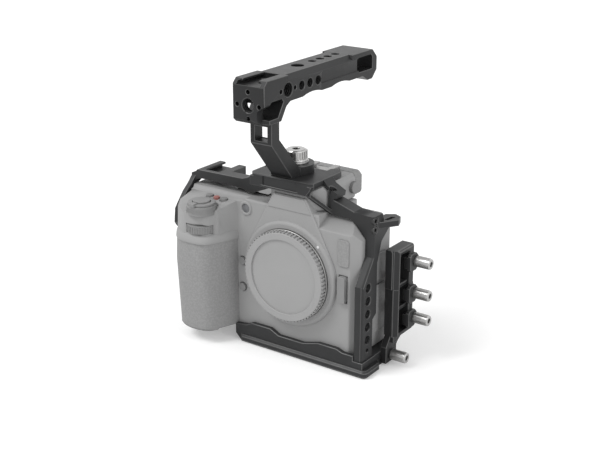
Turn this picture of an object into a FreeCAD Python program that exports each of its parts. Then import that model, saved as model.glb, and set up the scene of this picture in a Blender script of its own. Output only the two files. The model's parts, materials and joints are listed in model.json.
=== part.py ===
import FreeCAD, Part
import math
import os

from types import SimpleNamespace

import Sketcher

from FreeCAD import Placement, Rotation, Vector

# Camera rig: a mirrorless camera in a screwed aluminium cage, with a top handle and a cable clamp.
# Millimetres. +Z up. X = 0 is the lens axis, Y = 0 the front of the camera housing, Z = 0 the
# underside of the cage's base plate. The lens looks along -Y and the grip is on the -X side.

SIZES = [
    # cage base plate
    ("base_left", 46.3, "lens axis to the grip end of the base plate"),
    ("base_reach", 1.3, "far end of the base plate beyond the side arm"),
    ("base_back", 40.0, "depth of the base plate behind the housing front"),
    ("base_thick", 10.4, "thickness of the base plate"),
    ("wall_front", 4.0, "front wall's face in front of the housing"),
    ("wall_thick", 3.6, "thickness of the front wall"),
    ("wall_low", 12.5, "front wall's lowest top edge"),
    ("wall_high", 16.0, "front wall's tabs"),
    ("lip_front", 6.0, "dovetail lip's face in front of the housing"),
    ("lip_high", 5.6, "height of the dovetail lip"),
    ("lip_back", 34.0, "back edge of the dovetail lip"),
    ("lip_reach", 4.2, "lip beyond the far end of the plate"),
    ("lip_bevel", 1.4, "bevel of the dovetail lip"),
    ("pad_thick", 0.6, "rubber pads between plate and camera"),
    ("screw_axis", 17.0, "camera screw behind the housing front"),
    ("screw_head_dia", 13.0, "camera screw's head"),
    ("screw_head_high", 4.6, "camera screw's head height"),
    ("screw_recess", 6.0, "depth of the camera screw's counterbore"),
    ("quarter_dia", 6.35, "1/4-20 thread"),
    ("three_eighths_dia", 9.525, "3/8-16 thread"),
    ("run", 0.08, "radial clearance of screws and shafts"),
    ("gap", 0.3, "clearance between separate bodies"),
    # cage side arm
    ("arm_gap", 0.5, "between the camera and the side arm"),
    ("arm_thick", 6.0, "thickness of the side arm"),
    ("arm_front", 3.0, "lower arm's face in front of the housing"),
    ("arm_back", 15.0, "back edge of the arm"),
    ("arm_foot_back", 10.5, "back edge of the arm's foot"),
    ("arm_jog_low", 65.0, "start of the backward jog"),
    ("arm_jog_high", 83.0, "end of the backward jog"),
    ("upper_front", 9.5, "upper arm's face behind the housing front"),
    ("upper_depth", 11.0, "depth of the upper arm and the shoulder"),
    ("arm_rise", 3.3, "top of the side arm above the decks"),
    ("hole_line", 4.5, "hole column behind the housing front"),
    ("hole_first", 25.0, "height of the lowest 1/4 hole"),
    ("hole_pitch", 9.5, "pitch of the 1/4 holes"),
    ("lug_drop", 2.2, "strap lug's top face below the decks"),
    ("lug_thick", 4.5, "thickness of the strap lug"),
    ("lug_reach", 7.8, "strap lug beyond the arm"),
    ("lug_slot", 3.2, "width of the strap slot"),
    # cage top
    ("plate_rise", 22.2, "upper face of the top plate above the decks"),
    ("plate_gap", 0.6, "between the camera's hump and the top plate"),
    ("plate_thick", 4.2, "thickness of the top plate"),
    ("band_front", 5.0, "front band's face in front of the housing"),
    ("band_thick", 3.8, "thickness of the front band"),
    ("band_high", 9.0, "height of the front band"),
    ("plate_left", 30.5, "lens axis to the plate's grip side"),
    ("plate_right", 20.5, "lens axis to the plate's far side"),
    ("plate_back", 28.0, "back edge of the top plate"),
    ("prong_back", 34.5, "back end of the plate's prong"),
    ("prong_wide", 9.5, "width of the prong"),
    ("recess_deep", 0.8, "depth of the bare name recess"),
    ("post_left", 24.8, "lens axis to the shoulder's inner post"),
    ("post_wide", 4.1, "width of the shoulder's inner post"),
    ("post_drop", 11.9, "top of the shoulder's inner post below the plate's face"),
    ("shoulder_drop", 1.7, "lower edge of the shoulder below the decks"),
    ("shoulder_web", 4.6, "thickness of the shoulder's front web"),
    ("flange_thick", 3.0, "thickness of the shoulder's top flange"),
    # cage grip arm and its shoe
    ("grip_arm_front", 8.0, "grip arm's face behind the housing front"),
    ("grip_arm_deep", 9.0, "depth of the grip arm's bar"),
    ("shoe_rise", 4.0, "underside of the cage's shoe above the decks"),
    ("shoe_floor_thick", 2.8, "thickness of the cage's shoe under its floor"),
    ("shoe_centre", 76.5, "lens axis to the middle of the cage's shoe"),
    ("shoe_back", 34.5, "back end of the cage's shoe"),
    ("shoe_slot", 18.7, "width of a shoe's slot"),
    ("shoe_mouth", 12.6, "width between a shoe's lips"),
    ("shoe_slot_high", 2.1, "height of a shoe's slot"),
    ("shoe_lip", 1.6, "thickness of a shoe's lips"),
    ("shoe_wide", 25.0, "outer width of the cage's shoe"),
    ("leg_gap", 0.6, "between the camera and the leg"),
    ("leg_thick", 3.7, "thickness of the leg"),
    # top handle
    ("handle_x", 5.8, "handle axis beside the lens axis"),
    ("handle_y", 15.3, "handle screw behind the housing front"),
    ("handle_wide", 25.0, "width of the handle"),
    ("handle_front", 37.7, "handle's face in front of the housing"),
    ("handle_back", 98.0, "handle's back end"),
    ("handle_rise", 73.0, "top of the handle above the top plate"),
    ("bar_high", 17.6, "height of the handle's bar"),
    ("block_high", 28.9, "height of the handle's front block"),
    ("block_back", 18.7, "lower back edge of the front block in front of the housing"),
    ("stem_wide", 17.4, "width of the handle's stem"),
    ("stem_front", 24.4, "stem's face in front of the housing"),
    ("stem_deep", 8.4, "depth of the stem"),
    ("stem_share", 0.637, "height of the stem's bend, as a share of the way from plate to block"),
    ("foot_radius", 12.5, "radius of the handle's foot"),
    ("foot_high", 6.6, "height of the handle's foot"),
    ("groove_deep", 1.6, "depth of the finger grooves"),
    ("groove_pitch", 34.0, "pitch of the finger grooves"),
    ("bore_drop", 16.4, "front bore below the top of the handle"),
    ("side_hole_drop", 9.6, "side holes below the top of the handle"),
    ("pocket_skin", 0.9, "depth of the recesses in the handle's sides"),
    ("pin_circle", 8.7, "radius of the locating pin holes"),
    ("pin_dia", 3.0, "locating pins"),
    ("knob_dia", 14.5, "handle screw's head"),
    ("knob_high", 7.9, "height of the handle screw's head"),
    ("washer_dia", 17.5, "handle screw's washer"),
    ("washer_thick", 1.4, "thickness of the washer"),
    # cable clamp
    ("clamp_gap", 0.7, "between the side arm and the clamp"),
    ("clamp_deep", 9.8, "inner to outer face of the clamp"),
    ("clamp_front", 25.0, "clamp's face behind the housing front"),
    ("clamp_back", 46.5, "clamp's back face"),
    ("clamp_low", 21.0, "lower end of the clamp bracket"),
    ("clamp_split", 56.0, "joint between bracket and block"),
    ("clamp_high", 84.6, "top of the clamp block"),
    ("clamp_web", 3.0, "thickness of the clamp's web"),
    ("clamp_wall", 3.2, "thickness of the clamp's front wall"),
    ("clamp_post", 40.0, "front of the clamp's screw post"),
    ("clamp_axis", 42.6, "clamp screws behind the housing front"),
    ("clamp_jaw_open", 1.5, "travel of a jaw from open to shut"),
    ("jaw_thick", 2.6, "thickness of a jaw"),
    ("jaw_high", 12.6, "height of a jaw"),
    ("jaw_front", 34.8, "front edge of a jaw"),
    ("clamp_screw_dia", 7.5, "clamp screw's head"),
    ("clamp_screw_long", 11.6, "clamp screw's head length"),
    ("clamp_thread_dia", 4.0, "clamp screw's thread"),
    ("socket_across", 3.0, "hex socket across flats"),
    ("jaw_1_high", 73.5, "height of the top jaw"),
    ("jaw_2_high", 50.0, "height of the middle jaw"),
    ("jaw_3_high", 31.5, "height of the lower jaw"),
    ("foot_screw_y", 27.0, "clamp's fixing screw behind the housing front"),
    ("foot_screw_z", 7.2, "height of the clamp's fixing screw"),
    # camera housing
    ("housing_left", 89.5, "lens axis to the grip side"),
    ("housing_right", 54.2, "lens axis to the port side"),
    ("housing_back", 44.0, "depth of the housing"),
    ("deck", 108.2, "height of the decks beside the hump"),
    ("grip_front", 28.0, "grip's face in front of the housing"),
    ("grip_right", 45.0, "lens axis to the grip's inner side"),
    ("skin", 1.2, "thickness of the grip's rubber"),
    ("hump_wide", 47.0, "width of the viewfinder hump"),
    ("hot_shoe_high", 3.9, "height of the camera's own shoe"),
    ("hump_back", 46.0, "back of the hump"),
    ("lens_high", 61.0, "height of the lens axis"),
    ("surround_radius", 38.5, "radius of the raised mount surround"),
    ("surround_front", 3.2, "mount surround's face in front of the housing"),
    ("mount_radius", 27.5, "inner radius of the lens mount"),
    ("mount_outer", 33.0, "outer radius of the lens mount"),
    ("mount_front", 4.6, "mount's face in front of the housing"),
    ("cap_radius", 32.0, "radius of the body cap"),
    ("cap_front", 9.6, "body cap's face in front of the housing"),
    ("cap_dish", 27.0, "radius of the cap's dished centre"),
    ("eyecup_back", 55.0, "back of the eyecup"),
    ("eyecup_wide", 45.0, "width of the eyecup"),
    ("eyecup_rise", 0.2, "lower edge of the eyecup above the decks"),
    ("screen_wide", 76.0, "width of the rear screen"),
    ("screen_high", 52.0, "height of the rear screen"),
    ("screen_low", 30.0, "lower edge of the rear screen"),
    ("screen_centre", 12.0, "middle of the rear screen beside the lens axis"),
    ("screen_thick", 4.0, "thickness of the rear screen"),
    ("button_travel", 0.6, "travel of the small buttons"),
    ("dial_dia", 22.0, "diameter of the control wheels"),
    ("dial_high", 5.6, "height of the control wheels"),
    ("collar_high", 6.6, "height of the shutter's collar"),
]


class Dim:
    """A length that carries both its value and the spreadsheet expression it comes from."""

    def __init__(self, value, text):
        self.value = value
        self.text = text

    @staticmethod
    def of(other):
        return other if isinstance(other, Dim) else Dim(float(other), repr(float(other)))

    def _join(self, other, sign, value):
        return Dim(value, "(%s %s %s)" % (self.text, sign, Dim.of(other).text))

    def __add__(self, other):
        return self._join(other, "+", self.value + Dim.of(other).value)

    def __sub__(self, other):
        return self._join(other, "-", self.value - Dim.of(other).value)

    def __mul__(self, other):
        return self._join(other, "*", self.value * Dim.of(other).value)

    def __truediv__(self, other):
        return self._join(other, "/", self.value / Dim.of(other).value)

    def __radd__(self, other):
        return Dim.of(other) + self

    def __rsub__(self, other):
        return Dim.of(other) - self

    def __rmul__(self, other):
        return Dim.of(other) * self

    def __neg__(self):
        return Dim(-self.value, "(-1 * %s)" % self.text)


def number(length):
    """The plain value of a length."""
    return Dim.of(length).value


def write_sheet(doc):
    """Put every driving dimension in the spreadsheet and return them by name."""
    sheet = doc.addObject("Spreadsheet::Sheet", "Sizes")
    found = {}
    for row, (alias, value, note) in enumerate(SIZES, start=1):
        sheet.set("A%d" % row, alias)
        sheet.set("B%d" % row, str(value))
        sheet.set("C%d" % row, note)
        sheet.setAlias("B%d" % row, alias)
        found[alias] = Dim(value, "Sizes.%s" % alias)
    doc.recompute()
    return found


def join_sizes(D):
    """Work out the sizes that follow from where the neighbouring pieces end."""
    D.camera_low = D.base_thick + D.pad_thick
    D.arm_inner = D.housing_right + D.arm_gap
    D.leg_inner = D.housing_left + D.leg_gap
    D.leg_outer = D.leg_inner + D.leg_thick
    D.arm_outer = D.arm_inner + D.arm_thick
    D.base_right = D.arm_outer + D.base_reach
    D.clamp_inner = D.arm_outer + D.clamp_gap
    D.clamp_outer = D.clamp_inner + D.clamp_deep
    D.arm_top = D.deck + D.arm_rise
    D.lug_high = D.deck - D.lug_drop
    D.upper_back = D.upper_front + D.upper_depth
    D.shoulder_low = D.deck - D.shoulder_drop
    D.shoe_base = D.deck + D.shoe_rise
    D.shoe_floor = D.shoe_base + D.shoe_floor_thick
    D.rail_top = D.shoe_floor + D.shoe_slot_high + D.shoe_lip
    D.plate_top = D.deck + D.plate_rise
    D.plate_under = D.plate_top - D.plate_thick
    D.band_low = D.plate_top - D.band_high
    D.post_top = D.plate_top - D.post_drop
    D.hump_top = D.plate_under - D.plate_gap
    D.eyecup_low = D.deck + D.eyecup_rise
    D.foot_top = D.plate_top + D.foot_high
    D.knob_seat = D.foot_top + D.washer_thick
    D.knob_top = D.knob_seat + D.knob_high
    D.handle_top = D.plate_top + D.handle_rise
    D.bar_low = D.handle_top - D.bar_high
    D.block_low = D.handle_top - D.block_high
    D.bore_high = D.handle_top - D.bore_drop
    D.side_hole_high = D.handle_top - D.side_hole_drop
    D.stem_knee = D.plate_top + (D.block_low - D.plate_top) * D.stem_share
    return D


def bind(thing, path, length):
    """Set a property of a document object from a length, through its expression."""
    thing.setExpression(path, Dim.of(length).text)


class Loop:
    """A closed outline of straight sides through corner points, in a sketch's own axes."""

    def __init__(self, *corners):
        self.corners = corners

    def draw(self, sketch):
        count = len(self.corners)
        spots = [Vector(number(u), number(v), 0) for u, v in self.corners]
        sides = [Part.LineSegment(spots[i], spots[(i + 1) % count]) for i in range(count)]
        first = sketch.addGeometry(sides, False)[0]
        for i in range(count):
            join = (first + i, 2, first + (i + 1) % count, 1)
            sketch.addConstraint(Sketcher.Constraint("Coincident", *join))
        for i, (u, v) in enumerate(self.corners):
            place_point(sketch, first + i, 1, u, v)


class Disc:
    """A circle with its centre and radius."""

    def __init__(self, u, v, radius):
        self.u = u
        self.v = v
        self.radius = radius

    def draw(self, sketch):
        centre = Vector(number(self.u), number(self.v), 0)
        circle = Part.Circle(centre, Vector(0, 0, 1), number(self.radius))
        index = sketch.addGeometry(circle, False)
        place_point(sketch, index, 3, self.u, self.v)
        radius = Sketcher.Constraint("Radius", index, number(self.radius))
        bind(sketch, "Constraints[%d]" % sketch.addConstraint(radius), self.radius)


def place_point(sketch, index, point, u, v):
    """Hold one point of a sketch at its distances from the sketch's origin."""
    for kind, length, axis in (("DistanceX", u, -2), ("DistanceY", v, -1)):
        if abs(number(length)) < 1e-9:
            sketch.addConstraint(Sketcher.Constraint("PointOnObject", index, point, axis))
            continue
        rule = Sketcher.Constraint(kind, -1, 1, index, point, number(length))
        bind(sketch, "Constraints[%d]" % sketch.addConstraint(rule), length)


def block(u0, u1, v0, v1):
    """A rectangle between two pairs of sides."""
    return Loop((u0, v0), (u1, v0), (u1, v1), (u0, v1))


def ring_of_corners(u, v, radius, count, turn=0.0):
    """A regular polygon about a centre, by the distance of its corners."""
    corners = []
    for i in range(count):
        angle = math.radians(turn + 360.0 * i / count)
        corners.append((u + radius * math.cos(angle), v + radius * math.sin(angle)))
    return Loop(*corners)


def hexagon(u, v, across):
    """A hexagon by its size across flats."""
    return ring_of_corners(u, v, across / (2 * math.cos(math.pi / 6)), 6)


class Piece:
    """One rigid piece: a PartDesign body built up from sketches on its own origin planes."""

    PLANES = {"top": "XY_Plane", "front": "XZ_Plane", "side": "YZ_Plane"}

    def __init__(self, doc, name):
        self.doc = doc
        self.body = doc.addObject("PartDesign::Body", name)
        self.body.Label = name
        self.features = 0

    def _origin(self, role):
        return next(f for f in self.body.Origin.OriginFeatures if f.Role == role)

    def _sketch(self, view, loops, offset, centre=(0, 0)):
        self.features += 1
        name = "%s_sketch_%d" % (self.body.Label, self.features)
        sketch = self.body.newObject("Sketcher::SketchObject", name)
        sketch.AttachmentSupport = [(self._origin(self.PLANES[view]), "")]
        sketch.MapMode = "FlatFace"
        bind(sketch, ".AttachmentOffset.Base.x", centre[0])
        bind(sketch, ".AttachmentOffset.Base.y", centre[1])
        bind(sketch, ".AttachmentOffset.Base.z", offset)
        for loop in loops:
            loop.draw(sketch)
        return sketch

    def _feature(self, kind, sketch, length):
        feature = self.body.newObject("PartDesign::" + kind, "%s_%s" % (sketch.Name, kind))
        feature.Profile = sketch
        bind(feature, "Length", length)
        sketch.Visibility = False
        return feature

    def add(self, view, low, high, *loops):
        """Add a pad between two positions along the view's axis."""
        offset = -Dim.of(high) if view == "front" else Dim.of(low)
        sketch = self._sketch(view, loops, offset)
        return self._feature("Pad", sketch, Dim.of(high) - low)

    def cut(self, view, low, high, *loops):
        """Cut a pocket between two positions along the view's axis."""
        offset = -Dim.of(low) if view == "front" else Dim.of(high)
        sketch = self._sketch(view, loops, offset)
        return self._feature("Pocket", sketch, Dim.of(high) - low)

    def turn(self, view, offset, centre, loop):
        """Revolve an outline about the vertical axis of its sketch."""
        sketch = self._sketch(view, [loop], offset, centre)
        feature = self.body.newObject("PartDesign::Revolution", sketch.Name + "_turn")
        feature.Profile = sketch
        feature.ReferenceAxis = (sketch, ["V_Axis"])
        feature.Angle = 360
        return feature

    def loft(self, view, *sections):
        """Loft between outlines, each given with its position along the view's axis."""
        sketches = []
        for position, loop in sections:
            offset = -Dim.of(position) if view == "front" else position
            sketches.append(self._sketch(view, [loop], offset))
        feature = self.body.newObject("PartDesign::AdditiveLoft", sketches[0].Name + "_loft")
        feature.Profile = sketches[0]
        feature.Sections = sketches[1:]
        feature.Ruled = True
        return feature

    def along(self, feature, axis, length, count):
        """Repeat a feature along a sketch axis, H_Axis or V_Axis, over a total length."""
        pattern = self.body.newObject("PartDesign::LinearPattern", feature.Name + "_row")
        pattern.Originals = [feature]
        pattern.Direction = (feature.Profile[0], [axis])
        bind(pattern, "Length", length)
        pattern.Occurrences = count
        self.body.Tip = pattern
        return pattern

    def _edges(self, test):
        self.doc.recompute()
        tip = self.body.Tip
        return tip, ["Edge%d" % (i + 1) for i, edge in enumerate(tip.Shape.Edges) if test(edge)]

    def round(self, radius, test):
        """Fillet the edges that a test picks."""
        tip, names = self._edges(test)
        feature = self.body.newObject("PartDesign::Fillet", "%s_fillet" % tip.Name)
        feature.Base = (tip, names)
        bind(feature, "Radius", radius)
        return feature

    def bevel(self, size, test):
        """Chamfer the edges that a test picks."""
        tip, names = self._edges(test)
        feature = self.body.newObject("PartDesign::Chamfer", "%s_bevel" % tip.Name)
        feature.Base = (tip, names)
        bind(feature, "Size", size)
        return feature


def spans(edge, axis):
    """Whether a straight edge runs along the given axis."""
    ends = [vertex.Point for vertex in edge.Vertexes]
    if len(ends) != 2 or edge.Curve.TypeId != "Part::GeomLine":
        return False
    run = (ends[1] - ends[0]).normalize()
    return abs(abs(getattr(run, axis)) - 1) < 1e-4


def upright(axis, *spots):
    """A test for the straight edges along an axis that pass through the given spots."""
    others = [name for name in "xyz" if name != axis]

    def test(edge):
        if not spans(edge, axis):
            return False
        middle = edge.CenterOfMass
        here = [getattr(middle, name) for name in others]
        return any(math.dist(here, [number(value) for value in spot]) < 0.02 for spot in spots)

    return test


def level(axis, *positions):
    """A test for the edges that lie wholly in a plane across the given axis."""

    def test(edge):
        box = edge.BoundBox
        low = getattr(box, axis.upper() + "Min")
        high = getattr(box, axis.upper() + "Max")
        flat = high - low < 1e-4
        return flat and any(abs(low - number(position)) < 0.01 for position in positions)

    return test


def circles(axis, position, radius):
    """A test for round edges of one radius in a plane across the given axis."""
    flat = level(axis, position)

    def test(edge):
        return flat(edge) and hasattr(edge.Curve, "Radius") and abs(edge.Curve.Radius - number(radius)) < 0.02

    return test


class Shop:
    """Primitive solids and booleans for the plain pieces and the groups of fasteners."""

    def __init__(self, doc):
        self.doc = doc

    def box(self, name, x, y, z):
        solid = self.doc.addObject("Part::Box", name)
        for side, (low, high), axis in zip(("Length", "Width", "Height"), (x, y, z), "xyz"):
            bind(solid, side, Dim.of(high) - low)
            bind(solid, ".Placement.Base." + axis, low)
        return solid

    def rod(self, name, axis, centre, radius, low, high):
        """A cylinder along an axis; its centre is given in the other two axes, in order."""
        solid = self.doc.addObject("Part::Cylinder", name)
        turns = {"x": Rotation(Vector(0, 1, 0), 90), "y": Rotation(Vector(1, 0, 0), -90), "z": Rotation()}
        solid.Placement = Placement(Vector(), turns[axis])
        others = [letter for letter in "xyz" if letter != axis]
        bind(solid, "Radius", radius)
        bind(solid, "Height", Dim.of(high) - low)
        bind(solid, ".Placement.Base." + axis, low)
        for letter, value in zip(others, centre):
            bind(solid, ".Placement.Base." + letter, value)
        return solid

    def fuse(self, name, solids):
        result = self.doc.addObject("Part::MultiFuse", name)
        result.Shapes = solids
        return result

    def cut(self, name, base, tool):
        result = self.doc.addObject("Part::Cut", name)
        result.Base = base
        result.Tool = tool
        return result

    def group(self, name, solids):
        result = self.doc.addObject("Part::Compound", name)
        result.Links = solids
        return result


# ---------------------------------------------------------------- the cage


def cage_base_plate(doc, D):
    """Base plate: dovetail lip, front wall with two tabs, tripod threads and the screw's counterbore."""
    piece = Piece(doc, "cage_base_plate")
    corner = 5.0
    wall_back = -D.wall_front + D.wall_thick
    piece.add("front", -D.wall_front, D.base_back, Loop(
        (-D.base_left, corner), (-D.base_left + corner, 0), (D.base_right, 0),
        (D.base_right, D.base_thick), (-D.base_left, D.base_thick)))
    middle = (D.wall_low + D.wall_high) / 2
    piece.add("front", -D.wall_front, wall_back, Loop(
        (-D.base_left, D.base_thick), (D.arm_inner - 0.3, D.base_thick), (D.arm_inner - 0.3, middle),
        (D.arm_inner - 9, middle), (D.arm_inner - 14, D.wall_high), (D.arm_inner - 29, D.wall_high),
        (13, D.wall_low), (-8, D.wall_low), (-D.base_left + 31, D.wall_high),
        (-D.base_left + 15, D.wall_high), (-D.base_left + 10, D.wall_low + 1), (-D.base_left, D.wall_low)))
    lip_right = D.base_right + D.lip_reach
    piece.add("top", 0, D.lip_high, Loop(
        (-D.base_left + corner, D.lip_back), (-D.base_left + corner, -D.wall_front),
        (-D.base_left + corner + 2, -D.lip_front), (lip_right, -D.lip_front),
        (lip_right, 12), (D.base_right, 16), (D.base_right, D.lip_back)))
    piece.round(4.0, upright("z", (lip_right, -D.lip_front)))
    piece.bevel(D.lip_bevel, upright("x", (-D.lip_front, 0), (-D.lip_front, D.lip_high)))
    piece.cut("top", 0, D.screw_recess, Disc(0, D.screw_axis, D.screw_head_dia / 2 + 0.6))
    piece.cut("top", 0, D.base_thick, Disc(0, D.screw_axis, D.quarter_dia / 2))
    piece.cut("top", 0, D.base_thick, Disc(-22, D.screw_axis, D.quarter_dia / 2),
              Disc(24, D.screw_axis, D.three_eighths_dia / 2))
    piece.cut("top", 0, 6, block(-40, -30, 5, 29), block(35, 52, 5, 29))
    foot = foot_screws(D)
    piece.cut("top", 0, D.base_thick, *[Disc(x, y, 1.6) for x, y in foot])
    piece.cut("top", 0, 3.4, *[Disc(x, y, 3.0) for x, y in foot])
    piece.cut("side", D.base_right - 10, D.base_right,
              Disc(D.foot_screw_y, D.foot_screw_z, D.clamp_thread_dia / 2))
    return piece.body


def foot_screws(D):
    """Where the two screws from below hold the side arm."""
    x = D.arm_inner + D.arm_thick / 2
    return [(x, 0.2), (x, D.arm_foot_back - 3.4)]


def cage_side_arm(doc, D):
    """Side arm with its column of threads, the backward jog and the strap lug."""
    piece = Piece(doc, "cage_side_arm")
    outer = D.arm_outer
    piece.add("side", D.arm_inner, outer, Loop(
        (-D.arm_front, D.base_thick), (-D.arm_front, D.arm_jog_low), (D.upper_front, D.arm_jog_high),
        (D.upper_front, D.arm_top), (D.upper_back, D.arm_top), (D.upper_back + 2, D.lug_high),
        (33, D.lug_high), (33, D.lug_high - D.lug_thick), (20, D.lug_high - 14),
        (D.arm_back, D.lug_high - 28), (D.arm_back, 41), (D.arm_foot_back, 38),
        (D.arm_foot_back, D.base_thick)))
    piece.add("top", D.lug_high - D.lug_thick, D.lug_high, Loop(
        (D.arm_inner, 12), (outer, 12), (outer, 17), (outer + D.lug_reach, 29),
        (outer + D.lug_reach - 2.5, 35.5), (outer, 38), (D.arm_inner, 34)))
    piece.round(1.2, upright("x", (-D.arm_front, D.arm_jog_low), (D.upper_front, D.arm_jog_high),
                             (D.arm_back, 41)))
    piece.cut("top", D.lug_high - D.lug_thick, D.lug_high, Loop(
        (outer - 1.5, 24), (outer - 1.5 + D.lug_slot, 24), (outer + 3.2, 32.5),
        (outer + 3.2 - D.lug_slot, 32.5)))
    first = piece.cut("side", D.arm_inner, outer, Disc(D.hole_line, D.hole_first, D.quarter_dia / 2))
    piece.along(first, "V_Axis", D.hole_pitch * 4, 5)
    piece.cut("side", D.arm_inner, outer, Disc(D.hole_line, 17, 1.5))
    piece.cut("top", D.base_thick, D.base_thick + 7, *[Disc(x, y, 1.5) for x, y in foot_screws(D)])
    heads = shoulder_screws(D)
    piece.cut("side", D.arm_inner, outer, *[Disc(y, z, 1.6) for y, z in heads])
    piece.cut("side", outer - 2.0, outer, *[Disc(y, z, 2.9) for y, z in heads])
    piece.bevel(1.2, upright("z", (outer, -D.arm_front), (outer, D.upper_front)))
    return piece.body


def shoulder_screws(D):
    """Where the two screws through the side arm hold the shoulder."""
    y = D.upper_front + D.shoulder_web / 2 + 0.2
    return [(y, D.arm_top - 3.2), (y, D.arm_top - 9.5)]


def cage_shoulder(doc, D):
    """Shoulder: a tapering web with a top flange, an inner post and the thin rib towards the band."""
    piece = Piece(doc, "cage_shoulder")
    post_right = D.post_left + D.post_wide
    bend = D.arm_inner - 9.7
    web_back = D.upper_front + D.shoulder_web
    piece.add("front", D.upper_front, web_back, Loop(
        (D.post_left, D.post_top), (D.post_left, D.shoulder_low), (D.arm_inner - 12.9, D.shoulder_low),
        (D.arm_inner - 8.1, D.shoulder_low - 3.1), (D.arm_inner - 3.3, D.shoulder_low - 8.5),
        (D.arm_inner, D.shoulder_low - 12), (D.arm_inner, D.arm_top), (bend, D.arm_top + 0.8),
        (post_right, D.post_top - 1),
        (post_right, D.post_top)))
    flange_low = D.arm_top - D.flange_thick
    piece.add("front", web_back, D.upper_back, Loop(
        (D.post_left, D.post_top), (D.post_left, D.post_top - D.flange_thick - 1), (bend, flange_low + 0.6),
        (D.arm_inner, flange_low), (D.arm_inner, D.arm_top), (bend, D.arm_top + 0.8),
        (post_right, D.post_top - 1), (post_right, D.post_top)))
    band_back = -D.band_front + D.band_thick
    piece.loft("front", (band_back, block(13.7, 17.1, D.band_low - 1.6, D.band_low + 1.2)),
               (D.upper_front, block(24.2, 27.6, D.shoulder_low + 1.1, D.shoulder_low + 4)))
    piece.cut("side", D.arm_inner - 5, D.arm_inner, *[Disc(y, z, 1.5) for y, z in shoulder_screws(D)])
    x, y = post_screw(D)
    piece.cut("top", D.post_top - 6, D.post_top, Disc(x, y, 1.25))
    return piece.body


def post_screw(D):
    """Where the screw from above holds the top plate's wing on the post."""
    return D.post_left + D.post_wide / 2, D.upper_front + D.shoulder_web / 2


def cage_top_plate(doc, D):
    """Top plate with its front band, bare recess, wing to the shoulder and prong beside the shoe."""
    piece = Piece(doc, "cage_top_plate")
    under = D.plate_under
    prong_left = D.plate_right - D.prong_wide
    piece.add("top", under, D.plate_top, Loop(
        (-D.plate_left, -D.band_front + 3), (-D.plate_left + 3, -D.band_front),
        (D.plate_right - 3, -D.band_front), (D.plate_right, -D.band_front + 3),
        (D.plate_right, D.prong_back - 3), (D.plate_right - 2, D.prong_back),
        (prong_left + 2, D.prong_back), (prong_left, D.prong_back - 2), (prong_left, D.plate_back),
        (-D.plate_left + 9, D.plate_back), (-D.plate_left, D.plate_back - 6)))
    piece.add("front", -D.band_front, -D.band_front + D.band_thick, Loop(
        (-D.plate_left, D.plate_top - 2), (-D.plate_left, D.band_low), (16, D.band_low),
        (D.plate_right - 1.5, D.band_low + 4), (D.plate_right, D.plate_top - 2)))
    piece.add("front", D.upper_front, D.upper_back, Loop(
        (D.plate_right - 3.5, under), (D.plate_right + 0.5, under), (D.post_left, under - 2.6),
        (D.post_left, D.post_top), (31.2, D.post_top), (31.8, D.post_top + 3.6),
        (D.plate_right + 3.5, under), (D.plate_right, D.plate_top), (D.plate_right - 3.5, D.plate_top)))
    centre = -D.handle_x
    piece.cut("front", -D.band_front, -D.band_front + D.recess_deep,
              block(centre - 13.8, centre + 14.2, D.band_low + 1.6, D.plate_top - 0.9))
    piece.cut("top", under, D.plate_top, Disc(centre, D.handle_y, D.three_eighths_dia / 2))
    piece.cut("top", D.plate_top - 2.4, D.plate_top, *[Disc(x, y, D.pin_dia / 2) for x, y in pin_places(D)])
    x, y = post_screw(D)
    piece.cut("top", D.post_top, D.post_top + 9, Disc(x, y, 1.35))
    piece.cut("top", D.post_top + 3, D.post_top + 8.5, Disc(x, y, 2.4))
    x, y = bar_screw(D)
    piece.cut("top", under, D.plate_top, Disc(x, y, 1.35))
    piece.cut("top", D.plate_top - 1.9, D.plate_top, Disc(x, y, 2.4))
    piece.bevel(0.8, upright("x", (-D.band_front, D.plate_top)))
    return piece.body


def bar_screw(D):
    """Where the screw from above holds the grip arm's bar on the top plate."""
    return -D.plate_left + 3.2, D.grip_arm_front + D.grip_arm_deep / 2


def pin_places(D):
    """The locating pins on either side of the handle screw."""
    return [(-D.handle_x - D.pin_circle, D.handle_y), (-D.handle_x + D.pin_circle, D.handle_y)]


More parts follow.
